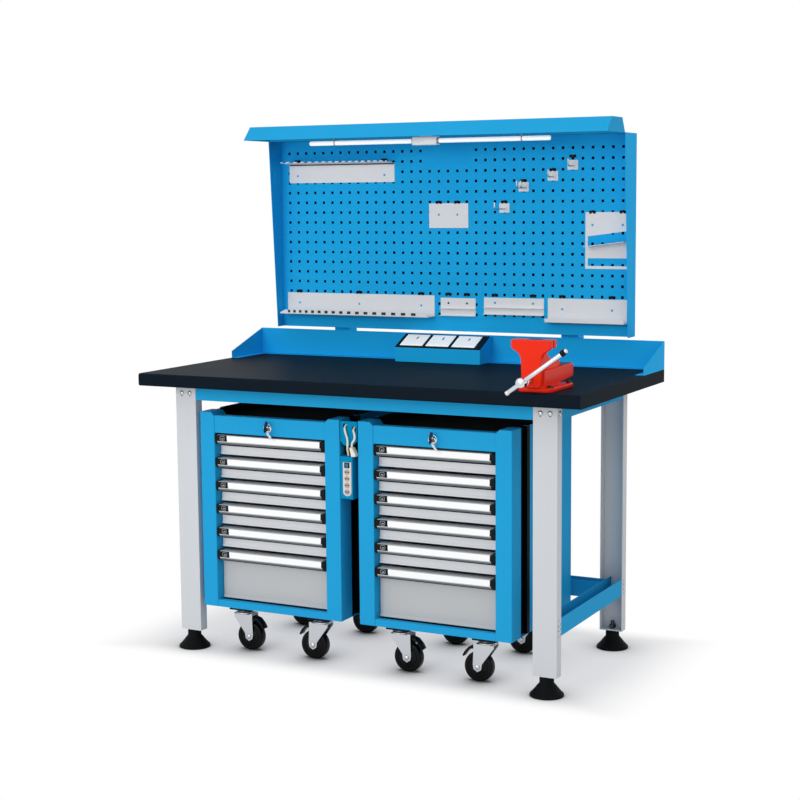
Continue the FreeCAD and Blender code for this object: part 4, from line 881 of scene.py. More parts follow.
@dataclass
class Bench:
    """The board on its four legs, with rails, bolts, feet and the upstand."""

    frame: dict
    half_width: float = 655
    leg_width: float = 75
    leg_depth: float = 35
    web_front: float = -306
    web_rear: float = 296
    bolt_height: float = 835
    bolt_pair: float = 15
    side_inset: float = 19
    low_bolts: tuple[float, ...] = (189, 204, 219)
    body: str = "bench"

    def coat(self) -> None:
        """Gives the frame's own nodes of the bench and the panel their finishes."""
        coats = {
            "worktop": TOP_BOARD,
            "legs": LEG_COAT,
            "frame_rails": BLUE_COAT,
            "upstand": PANEL_COAT,
            "perforated_panel": PANEL_COAT,
            "panel_frame": PANEL_COAT,
            "canopy": BLUE_COAT,
        }
        for name, finish in coats.items():
            node = self.frame["nodes"][name]
            if not node.material_slots:
                node.data.materials.append(finish.material())
            for place in node.material_slots:
                place.material = finish.material()
            LOG.info("%s keeps its solid, in %s", name, finish.name)

    def bolt_places(self) -> list[tuple[Vector, Vector]]:
        """Gives each bolt's place on the outer face of its leg and the way that its head points."""
        places: list[tuple[Vector, Vector]] = []
        centre = self.half_width - self.leg_width / 2
        for side in (-1, 1):
            outward = Vector((side, 0, 0))
            for end, web in ((-1, self.web_front), (1, self.web_rear)):
                along = web - end * self.leg_depth / 2
                for offset in (-self.bolt_pair, self.bolt_pair):
                    place = Vector((side * centre + offset, web, self.bolt_height))
                    places.append((place, Vector((0, end, 0))))
                inset = web - end * self.side_inset
                places.append((Vector((side * self.half_width, inset, self.bolt_height)), outward))
                places += [(Vector((side * self.half_width, along, low)), outward) for low in self.low_bolts]
        return places

    def bolts(self) -> None:
        """Sets the button heads outside the legs and the nuts inside them."""
        places = self.bolt_places()
        head = Draft().lathe(
            Axis.Z,
            (0, 0),
            [(0, 0), (8, 0), (8, 0.9), (7.3, 2.5), (5.6, 3.6), (3.6, 4), (3.3, 1.8), (0, 1.8)],
            20,
        )
        heads = copies("bolt_heads", head, places, ZINC, self.body)
        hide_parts("frame_bolts")
        nut = Draft().lathe(Axis.Z, (0, 0), rectangle((0, 7), (0, 6)), 6, soft=False)
        nut.lathe(Axis.Z, (0, 0), [(0, 6), (4, 6), (4, 7.6), (3.4, 8), (0, 8)], 14)
        grip = 4.5
        inside = [(place - facing * grip, -facing) for place, facing in places]
        copies("bolt_nuts", nut, inside, ZINC, self.body, 0.4)

    def feet(self) -> None:
        """Turns the four levelling feet: a ribbed rubber cone, its lock nut and its stud."""
        cone = [
            (0, 0), (48, 0), (49.6, 0.8), (50.2, 2.4), (50.2, 6), (49, 8), (45, 11), (42.5, 14.5), (38.6, 18),
            (36.6, 21.5), (32.8, 25), (31, 28.5), (27.4, 32), (25.6, 35), (22.4, 38), (21.6, 41), (21.6, 54),
            (20.4, 56), (0, 56),
        ]
        stud = [(0, 56), (6, 56), (6, 88), (5, 89), (0, 89)]
        nut = rectangle((0, 11.4), (67, 76))
        centre = self.half_width - self.leg_width / 2
        for end_name, end, web in (("front", -1, self.web_front), ("rear", 1, self.web_rear)):
            for side_name, side in (("left", -1), ("right", 1)):
                place = (side * centre, web - end * self.leg_depth / 2)
                body = f"foot_{end_name}_{side_name}"
                pad = Draft().lathe(Axis.Z, place, cone, 56)
                pad.piece(f"{body}_pad", FOOT_RUBBER, body, replaces=[body])
                metal = Draft().lathe(Axis.Z, place, stud, 20)
                metal.lathe(Axis.Z, place, nut, 6, soft=False)
                metal.piece(f"{body}_stud", BARE_STEEL, body, bevel=0.5)

    def build(self) -> None:
        """Makes the bench."""
        self.coat()
        self.bolts()
        self.feet()


# Back panel


@dataclass
class BackPanel:
    """What hangs on the perforated panel, and the dark sheet inside it."""

    face: float = 358
    sheet: float = 1.5
    pitch: float = 34.1
    first_row: float = 1604
    body: str = "bench"

    @property
    def front(self) -> float:
        """The front side of the sheets that lie on the panel."""
        return self.face - self.sheet

    def hole(self, column: float, row_number: float) -> Pair:
        """Gives the centre of a panel hole, columns from the middle and rows from the top."""
        return self.pitch * column, self.first_row - self.pitch * row_number

    def holder(
        self,
        x: Span,
        z: Span,
        columns: Sequence[int],
        spy: float,
        extra_holes: Sequence[Loop] = (),
    ) -> Draft:
        """Draws a holder's plate with its small round holes.

        Args:
            x: Its left and right edge.
            z: Its low and high edge.
            columns: The panel columns that it hooks into.
            spy: The height of its round holes.
            extra_holes: Other holes through it.

        Returns:
            The draft.
        """
        corners = eased(rectangle(x, z), 1.5, 3)
        holes = [circle((self.pitch * column, spy), 4) for column in columns]
        return Draft().plate(Axis.Y, corners, [*holes, *extra_holes], (self.front, self.face))

    def shelf(self, draft: Draft, x: Span, low: float, depth: float) -> None:
        """Adds a narrow folded ledge to a holder."""
        front = self.front - depth
        draft.box(x, (front, self.front), (low, low + self.sheet))

    def clips(self) -> None:
        """Sets the black hooks over the tops of the holders, each with a prong through a panel hole."""
        rows = {
            1: (-17, -7),
            14: (-17, -10, -3, 0, 2, 5, 9, 12, 17),
            5: (-1, 1, 6),
            6: (15, 18),
            3: (8,),
            2: (11,),
        }
        found = [self.hole(column, number) for number, columns in rows.items() for column in columns]
        found.append(self.hole(13, 1))
        top_row, rise = self.hole(0, 1)[1], 8
        places = [
            (Vector((across, self.face, height + (rise if height == top_row else 0))), Vector((0, -1, 0)))
            for across, height in found
        ]
        clip = Draft()
        for side in (-1, 1):
            clip.box(ordered(side * 3, side * 10.5), (-6, 3.2), (1.5, 4))
        clip.box((-10.5, 10.5), (-3.4, 3), (0, 4))
        clip.box((-2.5, 2.5), (-2.5, 2.5), (-12, 2))
        copies("holder_clips", clip, places, BLACK_ABS, self.body, 0.5)

    def dark_inner_sheet(self) -> None:
        """Makes the dark sheet inside the panel, which shows through its holes."""
        sheet = Draft().box((-644, 644), (381.6, 383.2), (1003, 1642))
        sheet.piece("panel_liner", DARK_SHEET, self.body)

    def fingers(
        self, x: Span, first: float, step: float, growth: float, share: float, count: int
    ) -> list[Span]:
        """Gives the tongues that a row of slots leaves on a ledge.

        Args:
            x: The ledge's left and right end.
            first: From the left end to the first slot's middle.
            step: From there to the second slot's middle.
            growth: How much each step is longer than the one before.
            share: The slots' share of their step.
            count: How many slots.

        Returns:
            The left and right end of each tongue.
        """
        tongues = []
        low = x[0]
        for number in range(count):
            middle = x[0] + first + step * number + growth * number * (number - 1) / 2
            half = (step + growth * number) * share / 2
            tongues.append((low, middle - half))
            low = middle + half
        return [*tongues, (low, x[1])]

    def bit_rail(self) -> None:
        """Makes the rail whose top edge folds forward and up and ends in short tongues."""
        x, z = (-613.0, -200.0), (1502.0, 1567.0)
        draft = self.holder(x, z, (-17, -7), 1526)
        front = self.front
        tip, root = front - 60, front - 46
        crest, level = z[1] + 5, z[1] + 3.8
        base = [(front, z[1] - self.sheet), (root, level - self.sheet), (root, level), (front, z[1])]
        draft.prism(Axis.X, base, x)
        tongue = [
            (root, level - self.sheet), (tip, crest - self.sheet), (tip, crest + 2),
            (tip + self.sheet, crest + 2), (tip + self.sheet, crest), (root, level),
        ]
        for span in self.fingers(x, 14, 29.5, -0.5, 0.5, 16):
            draft.prism(Axis.X, tongue, span)
        draft.piece("bit_rail", HOLDER_COAT, self.body, replaces=["panel_holders"])
        # A dark strip under the ledge's root that paints the ledge's shadow on the plate.
        ledge_shadow = Draft().box((x[0] + 1, x[1] - 1), (front - 0.5, front), (z[1] - 5.5, z[1] - 1.6))
        ledge_shadow.piece("bit_rail_fold", SHADE_SHEET, self.body)

    def wrench_rack(self) -> None:
        """Makes the rack whose bottom edge folds forward to an upright lip with a row of slots."""
        x, z = (-628.0, -52.0), (1049.0, 1120.0)
        draft = self.holder(x, z, (-17, -10, -3), 1085)
        tip, low, crest = self.front - 55, z[0], z[0] + 14
        root, slot_end, slant = low + 4, tip + 21, 20
        behind = tip + self.sheet
        floor = (low, low + self.sheet)
        draft.box(x, (slot_end, self.front), floor)
        draft.box(x, (tip, behind), (low, root))
        tongues = self.fingers(x, 36, 22, 1.12, 0.45, 17)
        for number, (near, far) in enumerate(tongues):
            draft.box((near, far), (behind, slot_end), floor)
            start = near + slant if number == 0 else near
            end = far - slant if number == len(tongues) - 1 else far
            lip = [(near, root), (far, root), (end, crest), (start, crest)]
            draft.prism(Axis.Y, lip, (tip, behind))
        draft.piece("wrench_rack", HOLDER_COAT, self.body)
        # A dark sheet just behind the lip that paints the shade seen through its slots.
        slots = (tongues[0][1] - 2, tongues[-1][0] + 2)
        shade = Draft().box(slots, (behind + 0.2, behind + 0.8), (low + 1.6, crest - 1))
        shade.piece("wrench_rack_backing", SHADE_SHEET, self.body)

    def small_holders(self) -> None:
        """Makes the plain plate, the two double ledges and the tray for pliers."""
        self.holder((-70, 74), (1347, 1429), (-1, 1), 1391).piece("plate_holder", HOLDER_COAT, self.body)
        for name, x, z, columns, spy in (
            ("short_ledge", (-29.0, 100.0), (1053.0, 1113.0), (0, 2), 1096),
            ("long_ledge", (131.0, 345.0), (1061.0, 1117.0), (5, 9), 1100),
        ):
            draft = self.holder(x, z, columns, spy)
            self.shelf(draft, x, (z[0] + z[1]) / 2 - 6, 10)
            self.shelf(draft, x, z[0], 10)
            draft.piece(name, HOLDER_COAT, self.body)
        x, z = (359.0, 630.0), (1041.0, 1119.0)
        tray = self.holder(x, z, (12, 17), 1084)
        self.shelf(tray, x, z[0], 30)
        front = self.front - 30
        tray.box(x, (front, front + self.sheet), (z[0], z[0] + 14))
        tray.piece("pliers_tray", HOLDER_COAT, self.body, replaces=["pliers_rack"])

    def bracket(self) -> None:
        """Makes the plate with a slanted slot over a low window and a shelf along the slot."""
        left, right = 496.0, 632.0
        sill, rise = 1289.0, 17.0
        slot = [(left, sill), (right, sill + rise), (right, 1321 + rise), (left, 1321)]
        window = rectangle((left, right), (1226, 1251))
        openings = [eased(slot, 2, 3), eased(window, 2, 3)]
        draft = self.holder((488, 640), (1217, 1398), (15, 18), 1357, openings)
        low = sill - self.sheet
        outline = [(left, low), (right, low + rise), (right, sill + rise), (left, sill)]
        draft.prism(Axis.Y, outline, (self.front - 40, self.front))
        draft.piece("bracket_plate", HOLDER_COAT, self.body, replaces=["bracket_holder"])

    def hooks(self) -> None:
        """Makes the four square plates with their bent wire prongs."""
        for number, (column, line, reach, offsets) in enumerate(
            ((6, 5, 80, (0,)), (8, 3, 40, (-7, 7)), (11, 2, 40, (0,)), (13, 1, 40, (0,))), 1
        ):
            across, height = self.hole(column, line)
            low, high, half = height - 36, height - 5, 18.0
            corners = eased(rectangle((across - half, across + half), (low, high)), 3)
            plate = Draft().plate(Axis.Y, corners, [], (self.front, self.face))
            plate.piece(f"hook_{number}_plate", HOLDER_COAT, self.body)
            wires = Draft()
            for offset in offsets:
                x, level, front = across + offset, low + 12, self.front
                path = [
                    (x, front, level), (x, front - reach * 0.5, level), (x, front - reach + 9, level),
                    (x, front - reach + 3.5, level + 1.2), (x, front - reach + 0.8, level + 4.5),
                    (x, front - reach, level + 9), (x, front - reach, level + 22),
                ]
                wires.tube(path, 2.5)
            wires.piece(f"hook_{number}_wire", ZINC, self.body)

    def build(self) -> None:
        """Makes everything that hangs on the panel."""
        self.dark_inner_sheet()
        self.bit_rail()
        self.wrench_rack()
        self.small_holders()
        self.bracket()
        self.hooks()
        self.clips()


@dataclass
class StripLamp:
    """The lamp under the canopy: batten, middle housing, two opal tubes and their clips."""

    along: float = 192
    height: float = 1631
    reach: float = 433
    ceiling: float = 1688.8
    body: str = "bench"

    def build(self) -> None:
        """Makes the lamp."""
        centre = (self.along, self.height)
        stem = (self.along - 5, self.along + 5)
        metal = Draft().box((-440, 440), (self.along - 15, self.along + 15), (self.ceiling - 26, self.ceiling))
        metal.box((-22, 22), stem, (self.height + 12, self.ceiling - 24))
        metal.piece("lamp_batten", WHITE_ABS, self.body, 1.5, ["strip_lamp"])
        half = 14.0
        section = rectangle((self.along - half, self.along + half), (self.height - half, self.height + half))
        housing = Draft().prism(Axis.X, eased(section, 5, 5), (-43.5, 43.5), True)
        housing.piece("lamp_housing", WHITE_ABS, self.body, 1.2)
        clips = Draft()
        for side, name in ((-1, "left"), (1, "right")):
            inner, outer = side * 43.0, side * self.reach
            profile = [
                (0, inner), (7.5, inner), (7.5, outer - side * 4), (6, outer - side), (3, outer), (0, outer),
            ]
            tube = Draft().lathe(Axis.X, centre, profile, 24)
            tube.piece(f"lamp_tube_{name}", LAMP_TUBE, self.body)
            place, cap = side * 337.0, side * 45.0
            clip = (place - 1.5, place + 1.5)
            clips.lathe(Axis.X, centre, rectangle((7.6, 9.5), clip), 24, closed=True)
            clips.box(clip, stem, (self.height + 9, self.ceiling - 24))
            clips.lathe(Axis.X, centre, rectangle((7.6, 10), (cap - 3, cap + 3)), 24, closed=True)
        clips.piece("lamp_clips", SATIN_STEEL, self.body)


@dataclass
class SocketBox:
    """The wedge against the upstand with three covered sockets."""

    left: float = -162
    right: float = 152
    front: float = 275
    shoulder: float = 358
    base: float = 900
    body: str = "bench"

    def leaf(self, draft: Draft, x: Span, inset: Span, low: float, wall: float) -> None:
        """Adds a plate that lies on the slope, inset from its lower and upper edge."""
        near, far = self.front + inset[0], self.shoulder - inset[1]
        rise = 37 / (self.shoulder - self.front)
        heights = [self.base + 48 + (place - self.front) * rise + low for place in (near, far)]
        outline = [(near, heights[0]), (far, heights[1]), (far, heights[1] + wall), (near, heights[0] + wall)]
        draft.prism(Axis.X, outline, x)

    def build(self) -> None:
        """Makes the box."""
        case = [
            (self.front, self.base), (345, self.base), (345, self.base + 1.5), (373.5, self.base + 1.5),
            (373.5, self.base + 85), (self.shoulder, self.base + 85), (self.front, self.base + 48),
        ]
        Draft().prism(Axis.X, case, (self.left, self.right)).piece(
            "socket_case", PANEL_COAT, self.body, 1, ["socket_box"]
        )
        plate = Draft()
        self.leaf(plate, (self.left, self.right), (0, 0), 0, 3)
        plate.piece("socket_plate", BLACK_ABS, self.body, 0.8)
        covers, marks = Draft(), Draft()
        width = (self.right - self.left - 38 - 24) / 3
        for number in range(3):
            low = self.left + 14 + number * (width + 12)
            self.leaf(covers, (low, low + width), (8, 8), 3, 2)
            self.leaf(covers, (low + 5, low + width - 5), (12, 12), 5, 1.2)
            self.leaf(marks, (low + width / 2 + 2, low + width / 2 + 7), (44, 24), 4, 2.6)
        covers.piece("socket_covers", COVER_ABS, self.body, 0.6)
        marks.piece("socket_finger_notches", SOCKET_DARK, self.body, 0.4)


# Vise


@dataclass
class Vise:
    """The bench vise: fixed casting, sliding jaw, screw and T-bar."""

    x: float = 601
    base: float = 900
    slope: float = math.radians(35.5)

    def fixed(self) -> None:
        """Makes the fixed casting with its foot, nut housing, jaw and anvil."""
        x, base = self.x, self.base
        casting = Draft()
        foot = rectangle((x - 54, x + 54), (-356, -165))
        casting.prism(Axis.Z, eased(foot, 24, 8), (base, base + 12), True)
        side = [
            (-340, base + 11), (-250, base + 11), (-222, base + 20), (-176, base + 22), (-126, base + 26),
            (-126, base + 64), (-215, base + 64), (-222, base + 62), (-340, base + 62),
        ]
        rounded = eased(side, {1: 14, 2: 14, 3: 10, 4: 7, 5: 5, 6: 3}, 5)
        casting.prism(Axis.X, rounded, (x - 33, x + 33), True)
        casting.box((x - 33, x + 33), (-352, -336), (base + 10, base + 62))
        web = [
            (-352, base + 60), (-215, base + 60), (-215, base + 84), (-290, base + 92),
            (-328, base + 126), (-328, base + 150), (-352, base + 150),
        ]
        casting.prism(Axis.X, eased(web, {2: 14, 3: 26, 4: 6, 5: 3}, 6), (x - 24, x + 24), True)
        jaw = [
            (x - 60, base + 128), (x - 40, base + 122), (x + 40, base + 122), (x + 60, base + 128),
            (x + 60, base + 150), (x - 60, base + 150),
        ]
        casting.prism(Axis.Y, eased(jaw, {0: 5, 3: 5}, 4), (-349, -328))
        casting.piece("vise_casting", VISE_PAINT, "bench", 2.4, ["vise_body"], 3)
        steel = Draft().box((x - 28, x + 28), (-212, -130), (base + 63.5, base + 66))
        steel.box((x - 57, x + 57), (-352, -348), (base + 128, base + 149.6))
        lug = [(0, base + 12), (8.5, base + 12), (8.5, base + 17), (7.5, base + 18), (0, base + 18)]
        for across in (-40, 40):
            for along in (-322.5, -182.5):
                steel.lathe(Axis.Z, (x + across, along), lug, 6, soft=False)
        steel.piece("vise_steel", BARE_STEEL, "bench", 0.6)

    def jaw(self) -> None:
        """Makes the sliding jaw with its flared neck and its hollow slide."""
        x, base = self.x, self.base
        rear, front = -352.3, -376.3
        neck = [
            (x - 28, base + 17), (x + 28, base + 17), (x + 30, base + 96), (x + 36, base + 112),
            (x + 52, base + 122), (x + 60, base + 128), (x + 60, base + 150), (x - 60, base + 150),
            (x - 60, base + 128), (x - 52, base + 122), (x - 36, base + 112), (x - 30, base + 96),
        ]
        corners = {0: 8, 1: 8, 2: 30, 3: 24, 4: 12, 5: 4, 6: 2, 7: 2, 8: 4, 9: 12, 10: 24, 11: 30}
        casting = Draft().prism(Axis.Y, eased(neck, corners, 5), (front, rear - 4), True)
        for low in (x - 22, x + 16):
            casting.box((low, low + 6), (rear - 6, -135), (base + 17, base + 57))
        casting.box((x - 22, x + 22), (rear - 6, -135), (base + 51, base + 57))
        boss = [(0, front + 2), (22, front + 2), (20, front - 4), (14, front - 5), (0, front - 5)]
        casting.lathe(Axis.Y, (x, base + 37), boss, 32)
        casting.piece("vise_sliding_jaw", VISE_PAINT, "vise_jaw", 2.0, ["vise_jaw"], 3)
        plate = Draft().box((x - 57, x + 57), (rear - 4.2, rear), (base + 128, base + 149.6))
        plate.piece("vise_jaw_plate", BARE_STEEL, "vise_jaw", 0.5)

    def screw(self) -> None:
        """Turns the screw with its thread, collar and hub."""
        centre = (self.x, self.base + 37)
        profile: list[Pair] = [
            (0, -455), (9, -455), (13.4, -453), (15, -449), (15, -431), (13.4, -427), (11, -425), (11, -421),
            (13, -420), (13, -386), (12, -381.4), (8, -381.4), (8, -350),
        ]
        pitch = 5.0
        for turn in range(28):
            along = -348 + turn * pitch
            profile += [(7.2, along), (8.9, along + 1.2), (8.9, along + 2.4), (7.2, along + 3.6)]
        profile += [(7, -206), (0, -205)]
        screw = Draft().lathe(Axis.Y, centre, profile, 28)
        screw.piece("vise_screw_steel", CHROME, "vise_screw", replaces=["vise_screw"])

    def along_lever(self, distance: float) -> Vector:
        """Gives a point along the lever, counted from the screw's axis."""
        centre = Vector((self.x, -440, self.base + 37))
        return centre + Vector((math.cos(self.slope), 0, math.sin(self.slope))) * distance

    def lever(self) -> None:
        """Makes the T-bar with its black cap, bright tip and upset lower end."""
        for name, finish, bevel, replaces, parts in (
            ("vise_lever", CHROME, 0.8, ["vise_handle"], ((-58, 150, 6.2), (-58, -50, 7))),
            ("vise_lever_cap", BLACK_ABS, 1.6, [], ((143, 157, 9),)),
            ("vise_lever_tip", CHROME, 1.6, [], ((156, 163, 6.4),)),
        ):
            bar = Draft()
            for start, end, radius in parts:
                bar.tube([self.along_lever(start), self.along_lever(end)], radius, 24)
            bar.piece(name, finish, "vise_handle", bevel, replaces)

    def build(self) -> None:
        """Makes the vise."""
        self.fixed()
        self.jaw()
        self.screw()
        self.lever()


# Roller cabinets


@dataclass
class Drawer:
    """One drawer: tray, front, grip profile, label strip, end caps and latch."""

    name: str
    left: float
    upper: float
    lower: float
    face: float = -310
    opening: float = 402
    depth: float = 34
    cap_width: float = 14
    latch_width: float = 43

    def sections(self) -> list[list[Pair]]:
        """Gives the grip's two sections: the recess for the label, and the lip that curls back under it."""
        top = self.upper - 6
        back = [
            (0, -1.5), (1.5, 0), (34, 0), (34, -2.5), (4.4, -2.5), (3.2, -3.8), (3.2, -20), (2.8, -22.6),
            (0.4, -22.6), (0, -20), (0, -19.2), (1.2, -19), (1.2, -2.8), (0, -2.4),
        ]
        lip = [
            (0.4, -22.6), (4, -22.6), (5.4, -24.4), (8, -26.6), (11, -28.2), (14, -29), (14, -31),
            (10.4, -31), (7.2, -30.2), (4.4, -28.8), (2.2, -26.6), (0.8, -24.2),
        ]
        return [[(self.face + inward, top + drop) for inward, drop in shape] for shape in (back, lip)]

    def latch(self) -> None:
        """Makes the push button of the latch in its bright frame, at the left end of the grip."""
        middle, height = self.left + 2 + 28, self.upper - 16.5
        front = self.face - 1.4

        def about(corners: Loop, wide: float = 1.0, tall: float = 1.0) -> list[Pair]:
            """Sets corners about the button's middle, narrowed or lowered by a factor."""
            return [(middle + across * wide, height + up * tall) for across, up in corners]

        corners = [(-9, -7), (8, -7), (9, 7), (-8, 7)]
        window = eased(about(corners, 0.84, 0.8), 4, 5)
        frame = Draft().plate(Axis.Y, eased(about(corners), 5, 5), [window], (front, front + 2))
        frame.prism(Axis.Y, about([(-4, -3), (4.5, -3), (4.5, 0), (-1, 1.6)]), (front + 0.2, front + 2))
        frame.piece(f"{self.name}_latch", SATIN_STEEL, self.name, 0.2)

    def front(self, inner: float, outer: float, depth: float, top: float) -> None:
        """Makes the sheet front, its bottom edge folded forward in a short slope."""
        low = self.lower + 2.5
        finish = DEEP_COAT if top - low > 100 else DRAWER_COAT
        section = [
            (depth + 3, low + 9), (depth + 3, top), (depth, top), (depth, low + 9.5), (depth - 4, low + 1),
            (depth - 3.4, low), (depth - 1, low),
        ]
        Draft().prism(Axis.X, section, (inner, outer)).piece(f"{self.name}_front", finish, self.name, 0.4)

    def tray(self, depth: float) -> None:
        """Makes the sheet tray with its flanges that run on the runners."""
        rear, low, high = depth + 398, self.lower + 5, self.upper - 20
        x = (self.left + 12.5, self.left + self.opening - 12.5)
        wall = 1.2
        body = Draft().box(x, (depth + 2, rear), (low, low + wall))
        body.box(x, (rear - wall, rear), (low, high))
        for near, far in ((x[0], self.left + 0.5), (x[1], self.left + self.opening - 0.5)):
            inward = wall if near < far else -wall
            body.box(ordered(near, near + inward), (depth + 2, rear), (low, high))
            body.box(ordered(near, far), (depth + 2, rear), (high - wall, high))
        body.piece(f"{self.name}_tray", DRAWER_COAT, self.name, 0.4, [self.name])

    def build(self) -> None:
        """Makes the drawer."""
        inner, outer = self.left + 2, self.left + self.opening - 2
        depth = self.face + self.depth
        top = self.upper - 6
        self.tray(depth)
        self.front(inner, outer, depth, top)
        # The lip gets the darker aluminium, which paints the shade on its curl.
        for kind, finish, section in zip(("grip", "lip"), (GRIP_METAL, LIP_METAL), self.sections()):
            profile = Draft().prism(Axis.X, section, (inner + 5, outer - 5), True)
            profile.piece(f"{self.name}_{kind}", finish, self.name)
        near, far = inner + self.latch_width, outer - self.cap_width
        label = [(near, top - 2), (far, top - 2), (far - 3, top - 20), (near + 3, top - 20)]
        strip = Draft().prism(Axis.Y, label, (self.face - 0.3, self.face + 1.4))
        strip.piece(f"{self.name}_label", LABEL_STRIP, self.name, 0.3)
        # A black strip on the front just under the lip that paints the lip's shadow.
        lip_shadow = Draft().box((inner + 1, outer - 1), (depth - 0.6, depth), (top - 39, top - 22))
        lip_shadow.piece(f"{self.name}_gap", DARK_SHEET, self.name)
        caps = Draft()
        cap = [
            (self.face - 0.8, top - 1), (self.face + 0.4, top + 0.4), (depth, top + 0.4), (depth, top - 8),
            (self.face + 14, top - 31.8), (self.face + 6, top - 30.6), (self.face + 1.4, top - 26),
            (self.face - 0.8, top - 20),
        ]
        caps.prism(Axis.X, cap, (outer - self.cap_width + 1, outer))
        caps.prism(Axis.X, cap, (inner, inner + 9))
        for ends in ((inner + 3, near + 2), (far - 2, outer - 1)):
            caps.box(ends, (self.face - 0.6, self.face + 3), (top - 20.4, top - 1))
        caps.piece(f"{self.name}_caps", BLACK_ABS, self.name, 0.8)
        self.latch()


@dataclass
class Caster:
    """A swivel caster: race and pressed fork, wheel, and a brake pedal on the front ones."""

    cabinet: str
    place: str
    x: float
    y: float
    trail: int
    brakes: bool
    wheel_radius: float = 46.5
    offset: float = 26
    cheek_gap: float = 17
    cheek_wall: float = 2.5

    @property
    def axle(self) -> float:
        """Where the axle is along X."""
        return self.x + self.trail * self.offset

    @property
    def pivot(self) -> Pair:
        """Where the pedal's pin is, along X and Z."""
        return self.x + self.trail * 33, 106.0

    def fork(self) -> None:
        """Makes the race, the crown and the two tapered cheeks with the axle."""
        name = f"{self.cabinet}_fork_{self.place}"
        toward, axle, height = self.trail, self.axle, self.wheel_radius
        race = [
            (0, 119), (27, 119), (28, 120.5), (28, 124), (24, 126), (22, 130.6), (5, 130.6), (5, 144.6),
            (0, 144.6),
        ]
        metal = Draft().lathe(Axis.Z, (self.x, self.y), race, 36)
        cheek = [
            (self.x - toward * 28, 121), (self.x + toward * 39, 121), (self.x + toward * 39, 100),
            (axle + toward * 15, height + 6), (axle + toward * 12.5, height - 7), (axle, height - 15),
            (axle - toward * 12.5, height - 7), (axle - toward * 15, height + 10),
            (self.x - toward * 28, 110),
        ]
        rounded = eased(cheek, {0: 3, 1: 3, 2: 8, 3: 8, 7: 8, 8: 4}, 4)
        for side in (-1, 1):
            inner = self.y + side * self.cheek_gap
            cap = inner + side * self.cheek_wall
            metal.prism(Axis.Y, rounded, ordered(inner, cap))
            profile = [(0, cap), (8, cap), (8, cap + side * 2.4), (5, cap + side * 4), (0, cap + side * 4)]
            metal.lathe(Axis.Y, (axle, height), profile, 20)
        crown = ordered(self.x - toward * 28, self.x + toward * 30)
        metal.box(crown, (self.y - 19.5, self.y + 19.5), (117.5, 121))
        metal.lathe(Axis.Y, (axle, height), rectangle((0, 4), (self.y - 18, self.y + 18)), 16)
        if self.brakes:
            metal.lathe(Axis.Y, self.pivot, rectangle((0, 3), (self.y - 19, self.y + 19)), 14)
        metal.piece(name + "_steel", ZINC, name, 0.6, [name])

    def wheel(self) -> None:
        """Turns the tyre with its rounded tread and the dished hub."""
        name = f"{self.cabinet}_wheel_{self.place}"
        centre = (self.axle, self.wheel_radius)
        r = self.wheel_radius
        half = [(19, 15.5), (21, 14), (30, 13.2), (31, 12), (32.5, 12), (33.5, 13.6), (41, 14), (44.4, 12.8),
                (46, 9.6), (r, 5)]
        tyre = [(radius, self.y + along) for radius, along in half]
        tyre += [(radius, self.y - along) for radius, along in reversed(half)]
        tyre += [(6, self.y - 15.5), (6, self.y + 15.5)]
        rubber = Draft().lathe(Axis.Y, centre, tyre, 48, closed=True)
        rubber.piece(name + "_tyre", TYRE, name, replaces=[name])
        hub = Draft()
        for side in (-1, 1):
            hub.lathe(Axis.Y, centre, rectangle((4.2, 12), (self.y, self.y + side * 15.9)), 24, closed=True)
        hub.piece(name + "_hub", BLACK_ABS, name)

    def pedal(self) -> None:
        """Makes the brake pedal that reaches out over the wheel."""
        name = f"{self.cabinet}_pedal_{self.place}"
        pivot, height = self.pivot
        bends = [
            (-5, -2), (-3, 5), (8, 5), (24, 0), (38, -15), (46, -29), (42, -34), (36, -23), (22, -7.5), (6, -5),
        ]
        outline = [(pivot + self.trail * out, height + up) for out, up in bends]
        rounded = eased(outline, {2: 8, 3: 12, 4: 12, 5: 3, 6: 3, 7: 14, 8: 14}, 5)
        lever = Draft().prism(Axis.Y, rounded, (self.y - 13, self.y + 13), True)
        lever.piece(name + "_lever", BLACK_ABS, name, 1.4, [name])

    def build(self) -> None:
        """Makes the caster."""
        self.fork()
        self.wheel()
        if self.brakes:
            self.pedal()


